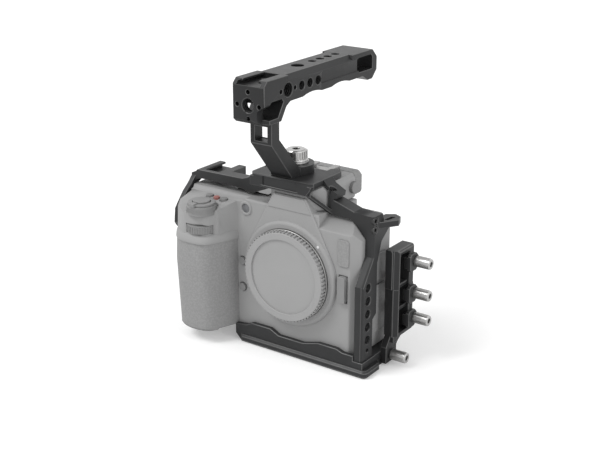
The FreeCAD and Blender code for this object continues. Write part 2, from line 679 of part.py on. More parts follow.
def cage_grip_arm(doc, D):
    """Arm over the grip: a bar from the top plate, the accessory shoe and the leg beside the grip."""
    piece = Piece(doc, "cage_grip_arm")
    under, deck, rail_top = D.plate_under, D.deck, D.rail_top
    bar_back = D.grip_arm_front + D.grip_arm_deep
    left = -D.shoe_centre - D.shoe_wide / 2
    right = -D.shoe_centre + D.shoe_wide / 2
    leg_low, leg_high = deck + 2.3, deck + 7
    piece.add("front", D.grip_arm_front, bar_back, Loop(
        (-D.leg_outer, leg_low), (-D.leg_outer, leg_high), (left + 3, rail_top), (-47.2, rail_top + 0.6),
        (-42, deck + 12.8), (-36.5, under), (-24.6, under), (-24.6, deck + 7.8), (-28, deck + 6.2),
        (-39.5, deck + 1.4), (-42.5, deck + 1.4), (-47, deck + 3.4), (-84.8, D.shoe_base),
        (-D.leg_inner, leg_low)))
    piece.add("top", D.shoe_base, rail_top, block(left, right, D.grip_arm_front, D.shoe_back))
    slot = D.shoe_slot / 2
    mouth = D.shoe_mouth / 2
    lip = D.shoe_floor + D.shoe_slot_high
    piece.cut("front", D.grip_arm_front + 3.2, D.shoe_back + 1, block(
        -D.shoe_centre - slot, -D.shoe_centre + slot, D.shoe_floor, lip))
    piece.cut("front", D.grip_arm_front + 3.2, D.shoe_back + 1, block(
        -D.shoe_centre - mouth, -D.shoe_centre + mouth, lip, rail_top + 1))
    piece.add("side", -D.leg_outer, -D.leg_inner, Loop(
        (9.5, leg_high), (3.6, deck + 0.9), (-2.2, deck - 3.7), (-8.1, deck - 10.4), (-11.6, deck - 14.7),
        (-12.8, deck - 25.1), (-10.2, deck - 28.9), (-7, deck - 27.7), (-6.4, deck - 16.2),
        (-1, deck - 9.7), (8, deck - 2.2), (bar_back, leg_low), (bar_back, leg_high)))
    piece.cut("top", under - 7, under, Disc(*bar_screw(D), 1.25))
    piece.cut("side", -D.leg_outer, -D.leg_inner, Disc(-9.6, deck - 23.2, 1.6))
    piece.bevel(1.0, upright("y", (left, rail_top)))
    return piece.body


def screw(shop, name, axis, centre, head_radius, head, shank_radius, shank):
    """A cap screw as a head and a shank, each between two positions along the axis."""
    top = shop.rod(name + "_head", axis, centre, head_radius, *head)
    stem = shop.rod(name + "_shank", axis, centre, shank_radius, *shank)
    return shop.fuse(name, [top, stem])


def cage_screws(shop, D):
    """The screws that hold the cage together, one group of separate solids."""
    outer = D.arm_outer
    solids = []
    for i, centre in enumerate(foot_screws(D)):
        name = "foot_screw_%d" % i
        solids.append(screw(shop, name, "z", centre, 2.8, (0.6, 3.4), 1.4, (3.4, D.base_thick + 6)))
    for i, centre in enumerate(shoulder_screws(D)):
        solids.append(screw(shop, "shoulder_screw_%d" % i, "x", centre, 2.75, (outer - 2, outer - 0.2),
                            1.4, (D.arm_inner - 4.5, outer - 2)))
    seat = D.post_top + 3
    solids.append(screw(shop, "post_screw", "z", post_screw(D), 2.2, (seat, seat + 1.7),
                        1.2, (D.post_top - 5, seat)))
    seat = D.plate_top - 1.9
    solids.append(screw(shop, "bar_screw", "z", bar_screw(D), 2.2, (seat, D.plate_top - 0.2),
                        1.2, (D.plate_under - 6, seat)))
    return shop.group("cage_screws", solids)


def camera_screw(doc, D):
    """The slotted screw that holds the camera on the base plate."""
    piece = Piece(doc, "camera_screw")
    low = D.screw_recess - D.screw_head_high
    piece.add("top", low, D.screw_recess, Disc(0, D.screw_axis, D.screw_head_dia / 2))
    piece.add("top", D.screw_recess, D.camera_low + 4.6, Disc(0, D.screw_axis, D.quarter_dia / 2 - D.run))
    half = D.screw_head_dia / 2
    piece.cut("top", low, low + 1.6, block(-half, half, D.screw_axis - 0.9, D.screw_axis + 0.9))
    return piece.body


def base_pads(shop, D):
    """Rubber strips between the base plate and the camera."""
    z = (D.base_thick, D.camera_low)
    strips = [shop.box("pad_grip_side", (-42, -32), (4, 34), z),
              shop.box("pad_port_side", (34, 48), (4, 34), z)]
    return shop.group("base_pads", strips)


# ---------------------------------------------------------------- the top handle


def handle_frame(doc, D):
    """Handle: front block, bar with finger grooves and strap window, stem and round foot."""
    piece = Piece(doc, "handle_frame")
    x = -D.handle_x
    left, right = x - D.handle_wide / 2, x + D.handle_wide / 2
    top, low, bar_low = D.handle_top, D.block_low, D.bar_low
    front, back = -D.handle_front, D.handle_back
    piece.add("side", left, right, Loop(
        (front, low + 3), (front, top - 4), (front + 4, top), (back - 6, top), (back, top - 6),
        (back, bar_low + 2), (back - 6, bar_low - 3.8), (back - 12, bar_low - 3.8), (back - 19, bar_low),
        (-8.5, bar_low), (-13, bar_low - 2.6), (-D.block_back, low), (front + 3.5, low)))
    piece.round(3.0, upright("x", (back - 6, top), (back, top - 6), (-8.5, bar_low), (-13, bar_low - 2.6)))
    radius = 40
    groove = piece.cut("side", left, right, Disc(17, bar_low - radius + D.groove_deep, radius))
    piece.along(groove, "H_Axis", D.groove_pitch, 2)
    chamfer = 3.5
    piece.cut("front", -11, back - 33, Loop(
        (right, top - chamfer), (right + 1, top - chamfer), (right + 1, top + 1), (right - chamfer, top + 1),
        (right - chamfer, top)), Loop(
        (left, top - chamfer), (left - 1, top - chamfer), (left - 1, top + 1), (left + chamfer, top + 1),
        (left + chamfer, top)))
    for side, skin in ((right - D.pocket_skin, right), (left, left + D.pocket_skin)):
        piece.cut("side", side, skin, Loop(
            (27, bar_low + 5), (back - 23, bar_low + 5), (back - 23, top - 5.6), (back - 24.5, top - 4.1),
            (28.5, top - 4.1), (27, top - 5.6)))
    piece.cut("side", left, right, Loop(
        (back - 25, top - 11.9), (back - 23, top - 13.9), (back - 6, top - 13.9), (back - 6, top - 5.4),
        (back - 8, top - 3.4), (back - 25, top - 3.4)))
    pocket = front + 6.2
    piece.cut("side", left, right, Loop(
        (pocket, low + 3), (-D.block_back - 3.5, low + 3), (-16.1, top - 16.5), (-18, top - 14.4),
        (pocket + 2, top - 14.4), (pocket, top - 16.4)))
    piece.cut("front", front - 1, pocket, Loop(
        (right + 1, top - 15.9), (right, top - 16.1), (right - 5.5, top - 19.8), (right - 5.5, low - 1),
        (right + 1, low - 1)))
    piece.cut("front", front, pocket, Disc(x, D.bore_high, D.three_eighths_dia / 2))
    piece.cut("front", front, front + 3, *[Disc(x + dx, D.bore_high + dz, D.pin_dia / 2) for dx, dz in (
        (D.pin_circle, 0), (-D.pin_circle, 0), (0, D.pin_circle), (0, -D.pin_circle))])
    holes_y = (4.4, 13.9, 23.4)
    piece.cut("side", left, right, *[Disc(y, D.side_hole_high, D.quarter_dia / 2) for y in holes_y])
    piece.cut("side", left, right, Disc(-11, D.side_hole_high, D.three_eighths_dia / 2))
    reach = D.pin_circle - 0.9
    pins = [Disc(-11 + dy, D.side_hole_high, D.pin_dia / 2) for dy in (-reach, reach)]
    piece.cut("side", right - 3, right, *pins)
    slot, mouth = D.shoe_slot / 2, D.shoe_mouth / 2
    lip = top - D.shoe_lip
    floor = lip - D.shoe_slot_high
    piece.cut("front", front - 1, -12, block(x - slot, x + slot, floor, lip))
    piece.cut("front", front - 1, -12, block(x - mouth, x + mouth, lip, top + 1))
    piece.cut("top", top - 5.5, top, Disc(x, 17, D.three_eighths_dia / 2))
    row = piece.cut("top", top - 5.5, top, Disc(x, 34, D.quarter_dia / 2))
    piece.along(row, "V_Axis", D.hole_pitch * 3, 4)
    piece.cut("top", floor - 5, floor, Disc(x, -20, 1.25))
    handle_stem(piece, D, x)
    piece.bevel(0.8, upright("z", (left, front), (right, front)))
    return piece.body


def handle_stem(piece, D, x):
    """The stem that leans back from the block, its window, and the round foot with the screw's well."""
    half = D.stem_wide / 2
    low, knee, plate = D.block_low, D.stem_knee, D.plate_top
    front, rear, heel = -D.stem_front, -D.stem_front + D.stem_deep, D.handle_y - 17.6
    piece.add("side", x - half, x + half, Loop(
        (front, low + 1.5), (front, knee), (heel, plate + 1.4), (heel, plate), (D.handle_y, plate),
        (D.handle_y, D.foot_top), (D.handle_y - 9.5, D.foot_top), (rear, knee + 2.4), (rear, low + 4),
        (-D.block_back - 0.8, low + 1.5)))
    piece.add("top", plate, D.foot_top, Disc(x, D.handle_y, D.foot_radius))
    rise = low - knee
    piece.cut("front", front, rear, block(x - 5, x + 5, knee + rise * 0.125, knee + rise * 0.75))
    piece.cut("top", D.foot_top, D.foot_top + 12, Disc(x, D.handle_y, D.washer_dia / 2 + 0.6))
    piece.cut("top", plate, D.foot_top, Disc(x, D.handle_y, D.three_eighths_dia / 2 + D.gap))
    piece.cut("top", plate, plate + 3, *[Disc(*spot, D.pin_dia / 2) for spot in pin_places(D)])


def handle_pins(shop, D):
    """The two locating pins pressed into the foot of the handle."""
    pins = []
    for i, spot in enumerate(pin_places(D)):
        span = (D.plate_top - 2.2, D.plate_top + 3)
        pins.append(shop.rod("handle_pin_%d" % i, "z", spot, D.pin_dia / 2 - 0.02, *span))
    return shop.group("handle_pins", pins)


def handle_screw(doc, D):
    """The handle's thumb screw: hex socket, head, and a 3/8 shank into the top plate."""
    piece = Piece(doc, "handle_screw")
    centre = (-D.handle_x, D.handle_y)
    seat, radius, high = D.knob_seat, D.knob_dia / 2, D.knob_high
    piece.turn("front", -D.handle_y, (-D.handle_x, seat), Loop(
        (0, 0), (radius + 1, 0), (radius + 1, 1.2), (radius, 2), (radius, high - 1), (radius - 1, high),
        (0, high)))
    piece.add("top", D.plate_under, seat, Disc(*centre, D.three_eighths_dia / 2 - D.run))
    piece.cut("top", D.knob_top - 4, D.knob_top, hexagon(*centre, D.socket_across + 2))
    return piece.body


def handle_washer(doc, D):
    """The captive washer under the thumb screw."""
    piece = Piece(doc, "handle_washer")
    piece.add("top", D.foot_top, D.knob_seat, Disc(-D.handle_x, D.handle_y, D.washer_dia / 2),
              Disc(-D.handle_x, D.handle_y, D.three_eighths_dia / 2))
    return piece.body


def shoe_stop(doc, D):
    """The stop screw in the floor of the handle's shoe."""
    piece = Piece(doc, "shoe_stop")
    floor = D.handle_top - D.shoe_slot_high - D.shoe_lip
    piece.add("top", floor, floor + 1.1, Disc(-D.handle_x, -20, 2.2))
    piece.add("top", floor - 4.8, floor, Disc(-D.handle_x, -20, 1.2))
    piece.cut("top", floor + 0.3, floor + 1.1, hexagon(-D.handle_x, Dim.of(-20), Dim.of(1.5)))
    return piece.body


# ---------------------------------------------------------------- the cable clamp


def channel(piece, D, low, high):
    """The clamp's section: web beside the camera, front wall and screw post, between two heights."""
    wall_back = D.clamp_front + D.clamp_wall
    web = D.clamp_inner + D.clamp_web
    piece.add("top", low, high, Loop(
        (D.clamp_inner, D.clamp_front), (D.clamp_outer - 3.4, D.clamp_front),
        (D.clamp_outer, D.clamp_front + 2.4),
        (D.clamp_outer, wall_back), (web, wall_back), (web, D.clamp_post), (D.clamp_outer, D.clamp_post),
        (D.clamp_outer, D.clamp_back), (D.clamp_inner, D.clamp_back)))
    return wall_back


def clamp_bracket(doc, D):
    """Lower part of the clamp: a channel with two cable places and the foot at the base plate."""
    piece = Piece(doc, "clamp_bracket")
    wall_back = channel(piece, D, D.clamp_low, D.clamp_split)
    web = D.clamp_inner + D.clamp_web
    divider = (D.jaw_2_high + D.jaw_3_high) / 2
    piece.add("top", divider - 1.2, divider + 1.2, block(web, D.clamp_outer - 1.5, wall_back, D.clamp_post))
    piece.add("top", D.clamp_low, D.clamp_low + 2.4, block(web, D.clamp_outer, wall_back, D.clamp_post))
    piece.cut("side", D.clamp_inner, web, *[block(wall_back + 1.4, D.clamp_post - 1.4, z - 5.5, z + 5.5)
                                          for z in (D.jaw_2_high, D.jaw_3_high)])
    foot_out = D.base_right + 4.6
    piece.add("side", D.base_right, foot_out, Loop(
        (20, 1.8), (34, 1.8), (34, 12), (D.clamp_back - 4, D.clamp_low),
        (D.clamp_front, D.clamp_low), (20, 14)))
    piece.add("side", D.base_right, D.clamp_outer - 2, Loop(
        (D.clamp_front, D.clamp_low), (D.clamp_front, D.clamp_low - 4.6),
        (D.clamp_front + 6, D.clamp_low - 4.6),
        (D.clamp_front + 14, D.clamp_low)))
    piece.cut("side", D.clamp_outer - 9, D.clamp_outer, *[Disc(D.clamp_axis, z, D.clamp_thread_dia / 2)
                                                        for z in (D.jaw_2_high, D.jaw_3_high)])
    piece.cut("side", D.base_right, D.clamp_outer,
              Disc(D.foot_screw_y, D.foot_screw_z, D.clamp_thread_dia / 2))
    return piece.body


def clamp_block(doc, D):
    """Upper part of the clamp: a thicker closed channel with the top cable place."""
    piece = Piece(doc, "clamp_block")
    wall_back = channel(piece, D, D.clamp_split, D.clamp_high)
    web = D.clamp_inner + D.clamp_web
    piece.add("top", D.clamp_high - 3.6, D.clamp_high, block(web, D.clamp_outer, wall_back, D.clamp_post))
    piece.add("top", D.clamp_split, D.clamp_split + 3, block(
        web, D.clamp_outer - 1.5, wall_back, D.clamp_post))
    piece.cut("side", D.clamp_inner, web, block(
        wall_back + 1.4, D.clamp_post - 1.4, D.jaw_1_high - 6, D.jaw_1_high + 6))
    piece.cut("side", D.clamp_outer - 9, D.clamp_outer,
              Disc(D.clamp_axis, D.jaw_1_high, D.clamp_thread_dia / 2))
    piece.add("front", D.clamp_front - 0.9, D.clamp_front, Loop(
        (D.clamp_inner, D.clamp_split), (D.clamp_outer - 4, D.clamp_split),
        (D.clamp_outer - 4, D.clamp_high - 1.5),
        (D.clamp_outer - 5, D.clamp_high), (D.clamp_inner, D.clamp_high)))
    piece.bevel(1.2, upright("y", (D.clamp_outer, D.clamp_high)))
    return piece.body


def clamp_jaw(doc, D, index, height):
    """One jaw: a plate outside the post whose finger reaches over the cable place."""
    piece = Piece(doc, "clamp_jaw_%d" % index)
    seat = D.clamp_outer + D.clamp_jaw_open
    half = D.jaw_high / 2
    front, back = D.jaw_front, D.clamp_back - 0.6
    piece.add("side", seat, seat + D.jaw_thick, Loop(
        (front + 1.5, height - half), (back - 3, height - half), (back, height - half + 3),
        (back, height + half - 3), (back - 3, height + half), (front + 1.5, height + half),
        (front, height + half - 1.5), (front, height - half + 1.5)))
    piece.add("side", D.clamp_outer - 1.2, seat, block(front, D.clamp_post - D.gap, height - 4, height + 4))
    piece.cut("side", seat, seat + D.jaw_thick, Disc(D.clamp_axis, height, D.clamp_thread_dia / 2))
    return piece.body


def clamp_screw(doc, D, name, y, height, seat, inner):
    """A clamp screw: a round head with a hex socket and a thread towards the camera."""
    piece = Piece(doc, name)
    tip = seat + D.clamp_screw_long
    piece.add("side", seat, tip, Disc(y, height, D.clamp_screw_dia / 2))
    piece.add("side", inner, seat, Disc(y, height, D.clamp_thread_dia / 2 - D.run))
    piece.cut("side", tip - 3, tip, hexagon(Dim.of(y), Dim.of(height), D.socket_across + 0.5))
    return piece.body


def clamp_washer(doc, D):
    """The captive collar of the clamp's fixing screw."""
    piece = Piece(doc, "clamp_washer")
    seat = D.base_right + 4.6
    height = D.foot_screw_z
    piece.add("side", seat, seat + 1.0, Disc(D.foot_screw_y, height, D.clamp_screw_dia / 2),
              Disc(D.foot_screw_y, height, D.clamp_thread_dia / 2))
    return piece.body


# ---------------------------------------------------------------- the camera


def grip_section(D, inset, front, side):
    """The grip's outline at one height: inset is the skin left off, front and side its reach."""
    left = -(side - inset)
    face = -(front - inset)
    right = -(D.grip_right + inset)
    return Loop(
        (left, 4), (left, face * 0.5), (left + 4.5, face * 0.82), (left + 13, face), (right - 17, face),
        (right - 10, face * 0.9), (right - 5.5, face * 0.6), (right, 0), (right, 4))


def grip_stations(D):
    """Heights of the grip's foot, middle and top, each with its share of the reach forward and sideways."""
    return (D.camera_low, 0.93, 0.985), (D.lens_high, 1.0, 1.0), (D.deck - 2, 0.92, 0.989)


def grip_at(D, z, above, inset):
    """The grip's outline at a height between two stations: above says which pair."""
    low, high = grip_stations(D)[above:above + 2]
    share = (z - low[0]) / (high[0] - low[0])
    front = low[1] + (high[1] - low[1]) * share
    side = low[2] + (high[2] - low[2]) * share
    return grip_section(D, inset, D.grip_front * front, D.housing_left * side)


def camera_housing(doc, D):
    """Camera housing: grip core, lowered port-side shoulder, mirror box and the seats of its controls."""
    piece = Piece(doc, "camera_housing")
    bottom = D.camera_low
    left, right, back = -D.housing_left, D.housing_right, D.housing_back
    piece.add("top", bottom, D.deck, Loop(
        (left, 2), (-D.grip_right - 8, 0), (right - 6, 0), (right, 6), (right, back - 2),
        (right - 2, back), (left + 12, back), (left, back - 9)))
    piece.loft("top", *[(z, grip_section(D, D.skin, D.grip_front * front, D.housing_left * side))
                        for z, front, side in grip_stations(D)])
    piece.cut("side", left - 1, -D.grip_right + 6, Loop(
        (-30, D.deck - 10.5), (4, D.deck - 2.2), (6, D.deck + 1), (-30, D.deck + 1)))
    piece.round(2.5, upright("z", (right, 6), (left + 12, back), (left, back - 9)))
    web_back = D.upper_front + D.shoulder_web + 0.5
    under_web = D.shoulder_low - D.gap
    piece.cut("side", D.hump_wide / 2, right + 1, Loop(
        (-1, under_web - 8), (web_back, under_web), (web_back, D.deck + 1), (-1, D.deck + 1)))
    piece.cut("front", -1, D.upper_back + D.gap, Loop(
        (right - 12.8, under_web), (right - 7.9, under_web - 3.2), (right - 3.1, under_web - 8.6),
        (right + 1, under_web - 13), (right + 1, D.deck + 1), (right - 12.8, D.deck + 1)))
    piece.cut("side", 26, right + 1, Loop(
        (31, D.deck), (back, D.deck - 15.5), (back + 1, D.deck + 1), (31, D.deck + 1)))
    # mirror box, tripod thread, seats of the strap lugs, dials and buttons
    piece.cut("front", 0, 18, Disc(0, D.lens_high, D.mount_radius))
    piece.cut("top", bottom, bottom + 5.5, Disc(0, D.screw_axis, D.quarter_dia / 2))
    for (x, y), z in dial_places(D).values():
        half = D.dial_high / 2 + D.gap
        piece.cut("top", z - half, z + half, Disc(x, y, D.dial_dia / 2 + D.gap))
    centre, seat = shutter_tower(D)
    piece.cut("top", seat - D.collar_high, seat, Disc(*centre, 10.5))
    low, high = top_button_span(D)
    piece.cut("top", low - D.button_travel - 0.1, high + 2, *[
        Disc(x, y, radius + D.gap) for x, y, radius in top_buttons(D).values()])
    piece.cut("front", 0, 2.2, *[Disc(-41.7, z, 2.9 + D.gap) for z in fn_buttons(D).values()])
    piece.cut("front", 0, 2.2, block(40.2 - D.gap, 46.2 + D.gap, 50 - D.gap, 69 + D.gap))
    piece.cut("front", back - 2.2, back,
              *[Disc(x, z, radius + D.gap) for x, z, radius in rear_buttons(D).values()])
    x, z = selector_place(D)
    piece.cut("front", back - 0.7, back, Disc(x, z, 8.4))
    piece.cut("front", back - 3, back, Disc(x, z + 20, 2.1))
    lug = D.deck - 16.2
    piece.add("side", left - 2.6, left + 1, block(18, 26, lug, lug + 6))
    piece.cut("side", left - 2, left - 0.8, block(17, 27, lug + 2, lug + 4.4))
    return piece.body


def dial_places(D):
    """The two control wheels: centre and height of the middle."""
    return {"front_dial": ((-64.5, -D.grip_front + 11.6), D.deck - 20.7),
            "rear_dial": ((-76, D.housing_back - 9), D.deck - 6.25)}


def top_buttons(D):
    """Small buttons on the sloping grip top, by name: x, y, radius."""
    return {
        "record_button": (-62.5, -2.0, 2.2),
        "iso_button": (-69.5, -1.0, 2.6),
        "exposure_button": (-56.0, -2.0, 2.6),
    }


def top_button_span(D):
    """Lower end and top of the small buttons on the grip."""
    return D.deck - 5.7, D.deck - 2.4


def fn_buttons(D):
    """The two function buttons between grip and mount, by name: height."""
    return {"fn_button_1": D.lens_high, "fn_button_2": D.lens_high - 20}


def rear_buttons(D):
    """Round buttons in the housing's back, by name: x, z, radius."""
    return {
        "af_on_button": (-62.0, D.deck - 12.2, 4.2),
        "play_button": (34.0, 84.0, 2.8),
        "delete_button": (43.0, 84.0, 2.8),
        "zoom_button": (-70.5, 40.0, 2.8),
        "menu_button": (-70.5, 30.0, 2.8),
    }


def selector_place(D):
    """Middle of the eight-way pad on the back; the sub-selector sits 20 above it."""
    return -70.5, 60


def grip_rubber(doc, D):
    """The rubber skin round the front of the grip."""
    piece = Piece(doc, "grip_rubber")
    low, high = D.camera_low + 6, D.deck - 28.2
    levels = ((low, 0), (D.lens_high, 1), (high, 1))
    piece.loft("top", *[(z, grip_at(D, z, above, 0)) for z, above in levels])
    under = D.skin - 0.05
    sketches = [piece._sketch("top", [grip_at(D, z, above, under)], z) for z, above in levels]
    hollow = piece.body.newObject("PartDesign::SubtractiveLoft", "grip_rubber_hollow")
    hollow.Profile = sketches[0]
    hollow.Sections = sketches[1:]
    hollow.Ruled = True
    piece.cut("top", low, high, block(-D.housing_left - 1, -D.grip_right + 2, -0.2, 6))
    return piece.body


def camera_hump(doc, D):
    """Viewfinder hump above the lens, with chamfered front corners."""
    piece = Piece(doc, "camera_hump")
    half, top, corner = D.hump_wide / 2, D.hump_top, 10
    piece.add("top", D.deck, top, Loop(
        (-half, D.hump_back), (-half, corner), (-half + corner, 0), (half - corner, 0), (half, corner),
        (half, D.hump_back)))
    piece.bevel(3.2, upright("y", (half, top), (-half, top)))
    piece.cut("side", -half, half, Loop(
        (-1, top - 7), (0, top - 7), (3.5, top - 2), (9, top), (9, top + 1), (-1, top + 1)))
    return piece.body


def hot_shoe(doc, D):
    """The camera's accessory shoe on the hump."""
    piece = Piece(doc, "hot_shoe")
    low, top = D.hump_top, D.hump_top + D.hot_shoe_high
    front, back = D.plate_back + 1.0, D.hump_back - 0.5
    outer, slot, mouth = 10.6, D.shoe_slot / 2, D.shoe_mouth / 2
    piece.add("top", low, top, block(-outer, outer, front, back))
    piece.cut("front", front + 1.5, back + 1, block(-slot, slot, low + 0.5, low + 0.4 + D.shoe_slot_high))
    piece.cut("front", front + 1.5, back + 1, block(-mouth, mouth, low + 1, top + 1))
    return piece.body


def mount_surround(doc, D):
    """The raised round surround of the lens mount."""
    piece = Piece(doc, "mount_surround")
    piece.add("front", -D.surround_front, 0,
              Disc(0, D.lens_high, D.surround_radius), Disc(0, D.lens_high, D.mount_outer))
    piece.bevel(1.6, circles("y", -D.surround_front, D.surround_radius))
    return piece.body


def lens_mount(doc, D):
    """The metal ring of the lens mount."""
    piece = Piece(doc, "lens_mount")
    piece.add("front", -D.mount_front, 0,
              Disc(0, D.lens_high, D.mount_outer), Disc(0, D.lens_high, D.mount_radius))
    return piece.body


def body_cap(doc, D):
    """The body cap: rim, dished centre and the collar that turns into the mount."""
    piece = Piece(doc, "body_cap")
    seat = -D.mount_front - D.gap
    bore = D.mount_radius - D.gap
    piece.add("front", -D.cap_front, seat, Disc(0, D.lens_high, D.cap_radius))
    piece.add("front", seat, seat + 3.4, Disc(0, D.lens_high, bore), Disc(0, D.lens_high, bore - 1.7))
    piece.cut("front", -D.cap_front, -D.cap_front + 1.2, Disc(0, D.lens_high, D.cap_dish))
    return piece.body


def lens_release(doc, D):
    """The button that unlocks the lens, beside the mount."""
    piece = Piece(doc, "lens_release")
    piece.add("front", -3.0, 1.5, block(40.2, 46.2, 50, 69))
    piece.round(1.5, upright("y", (40.2, 50), (46.2, 50), (46.2, 69), (40.2, 69)))
    return piece.body


def front_cover(doc, D):
    """Rubber cover of the two sockets on the housing's front."""
    piece = Piece(doc, "front_cover")
    piece.add("front", -1.0, 0, block(39, 48, 76, 95))
    piece.round(2.0, upright("y", (39, 76), (48, 76), (48, 95), (39, 95)))
    return piece.body


def shutter_tower(D):
    """Centre of the shutter button on the grip, and the height of its seat."""
    return (-63.5, -17.5), D.deck - 3.6


def shutter_collar(doc, D):
    """The fixed collar under the power switch."""
    piece = Piece(doc, "shutter_collar")
    centre, seat = shutter_tower(D)
    piece.add("top", seat - D.collar_high, seat, Disc(*centre, 10.5), Disc(*centre, 2.0))
    return piece.body


def power_switch(doc, D):
    """The power switch: a ring with a thumb tab round the shutter button."""
    piece = Piece(doc, "power_switch")
    (x, y), seat = shutter_tower(D)
    piece.add("top", seat + 0.1, seat + 1.7, Disc(x, y, 9.6))
    piece.add("top", seat + 0.1, seat + 2.6, block(x - 2, x + 2, y - 11.4, y - 7))
    piece.cut("top", seat + 0.1, seat + 2.6, Disc(x, y, 6.4))
    return piece.body


def shutter_button(doc, D):
    """The shutter button with its stem."""
    piece = Piece(doc, "shutter_button")
    centre, seat = shutter_tower(D)
    piece.add("top", seat + 0.9, seat + 2.7, Disc(*centre, 6.0))
    piece.add("top", seat - 2.4, seat + 0.9, Disc(*centre, 1.9))
    return piece.body


def dial(doc, D, name):
    """A control wheel on a vertical axle."""
    piece = Piece(doc, name)
    centre, z = dial_places(D)[name]
    piece.add("top", z - D.dial_high / 2, z + D.dial_high / 2, Disc(*centre, D.dial_dia / 2))
    return piece.body


def round_button(doc, name, view, spot, radius, low, high):
    """A round push button between two positions along the view's axis."""
    piece = Piece(doc, name)
    piece.add(view, low, high, Disc(*spot, radius))
    return piece.body


def eyecup(doc, D):
    """The rubber eyecup behind the hump, with the finder's window."""
    piece = Piece(doc, "eyecup")
    half = D.eyecup_wide / 2
    top = D.hump_top + 0.5
    piece.add("front", D.hump_back, D.eyecup_back, block(-half, half, D.eyecup_low, top))
    piece.round(4.0, upright("y", (half, D.eyecup_low), (-half, D.eyecup_low), (half, top), (-half, top)))
    piece.cut("front", D.eyecup_back - 5, D.eyecup_back, block(-12, 12, D.eyecup_low + 2.2, top - 3.4))
    return piece.body


def finder_glass(shop, D):
    """The finder's eyepiece lens at the bottom of the eyecup's well."""
    seat = D.eyecup_back - 5
    span = (D.eyecup_low + 2.6, D.hump_top - 3.4)
    return shop.box("finder_glass", (-11.5, 11.5), (seat, seat + 1.2), span)


def diopter_dial(doc, D):
    """The diopter wheel on the side of the hump."""
    piece = Piece(doc, "diopter_dial")
    side = D.hump_wide / 2
    piece.add("side", side, side + 2.4, Disc(D.hump_back - 4.6, D.deck + 9, 4.0))
    return piece.body


def screen_frame(doc, D):
    """The hinged frame between the housing and the screen."""
    piece = Piece(doc, "screen_frame")
    left = -D.screen_centre - D.screen_wide / 2
    right = -D.screen_centre + D.screen_wide / 2
    front, back = D.housing_back + D.gap, D.housing_back + 1.7
    low, high = D.screen_low + 0.6, D.screen_low + D.screen_high - 0.6
    piece.add("front", front, back, block(left + 8, right - 2, low, high))
    piece.cut("front", front, back, block(left + 15, right - 9, low + 8, high - 8))
    return piece.body


def rear_screen(doc, D):
    """The tilting screen: a slim bezel round a recessed pane."""
    piece = Piece(doc, "rear_screen")
    left = -D.screen_centre - D.screen_wide / 2
    right = -D.screen_centre + D.screen_wide / 2
    front = D.housing_back + 2.0
    top = D.screen_low + D.screen_high
    piece.add("front", front, front + D.screen_thick, block(left, right, D.screen_low, top))
    piece.round(2.5, upright("y", (left, D.screen_low), (right, D.screen_low), (left, top), (right, top)))
    glass = (left + 3, right - 3, D.screen_low + 4, top - 3)
    piece.cut("front", front + D.screen_thick - 0.9, front + D.screen_thick, block(*glass))
    return piece.body


def screen_pane(shop, D):
    """The screen's glass."""
    left = -D.screen_centre - D.screen_wide / 2 + 3
    right = -D.screen_centre + D.screen_wide / 2 - 3
    back = D.housing_back + 2.0 + D.screen_thick
    span = (D.screen_low + 4, D.screen_low + D.screen_high - 3)
    return shop.box("screen_pane", (left, right), (back - 0.9, back - 0.2), span)


def top_display(shop, D):
    """The status display on the right deck."""
    return shop.box("top_display", (-56, -29), (14, 36), (D.deck, D.deck + 0.8))


def multi_selector(doc, D):
    """The eight-way pad on the back, a disc in a shallow well with a dished middle."""
    piece = Piece(doc, "multi_selector")
    x, z = selector_place(D)
    face = D.housing_back + 1.8
    piece.add("front", D.housing_back, face, Disc(x, z, 8.0))
    piece.cut("front", face - 0.6, face, Disc(x, z, 3.3))
    return piece.body


def joystick(doc, D):
    """The sub-selector's cap on its short stem."""
    piece = Piece(doc, "joystick")
    back = D.housing_back
    x, z = selector_place(D)
    piece.add("front", back + 1.6, back + 4.0, Disc(x, z + 20, 3.6))
    piece.add("front", back - 2.7, back + 1.6, Disc(x, z + 20, 1.5))
    return piece.body


def door(doc, name, view, low, high, loop, radius, corners):
    """A flat door with rounded corners."""
    piece = Piece(doc, name)
    piece.add(view, low, high, loop)
    piece.round(radius, corners)
    return piece.body


def doors(doc, D):
    """Card door, battery door and the two covers of the side sockets."""
    right, left, bottom = D.housing_right, -D.housing_left, D.camera_low
    found = []
    for name, low, high in (("port_cover_upper", 60, 80), ("port_cover_lower", 22, 57)):
        found.append(door(doc, name, "side", right + D.gap, right + 1.5, block(16.5, 36, low, high), 2.0,
                          upright("x", (16.5, low), (36, low), (16.5, high), (36, high))))
    found.append(door(doc, "card_door", "side", left - 1.6, left - D.gap,
                      block(4, D.housing_back - 10, 24, 78), 2.5, upright("x", (4, 24), (4, 78))))
    found.append(door(doc, "battery_door", "top", bottom - 1.6, bottom - D.gap, block(-82, -54, -14, 22), 2.5,
                      upright("z", (-82, -14), (-54, -14), (-82, 22), (-54, 22))))
    return found


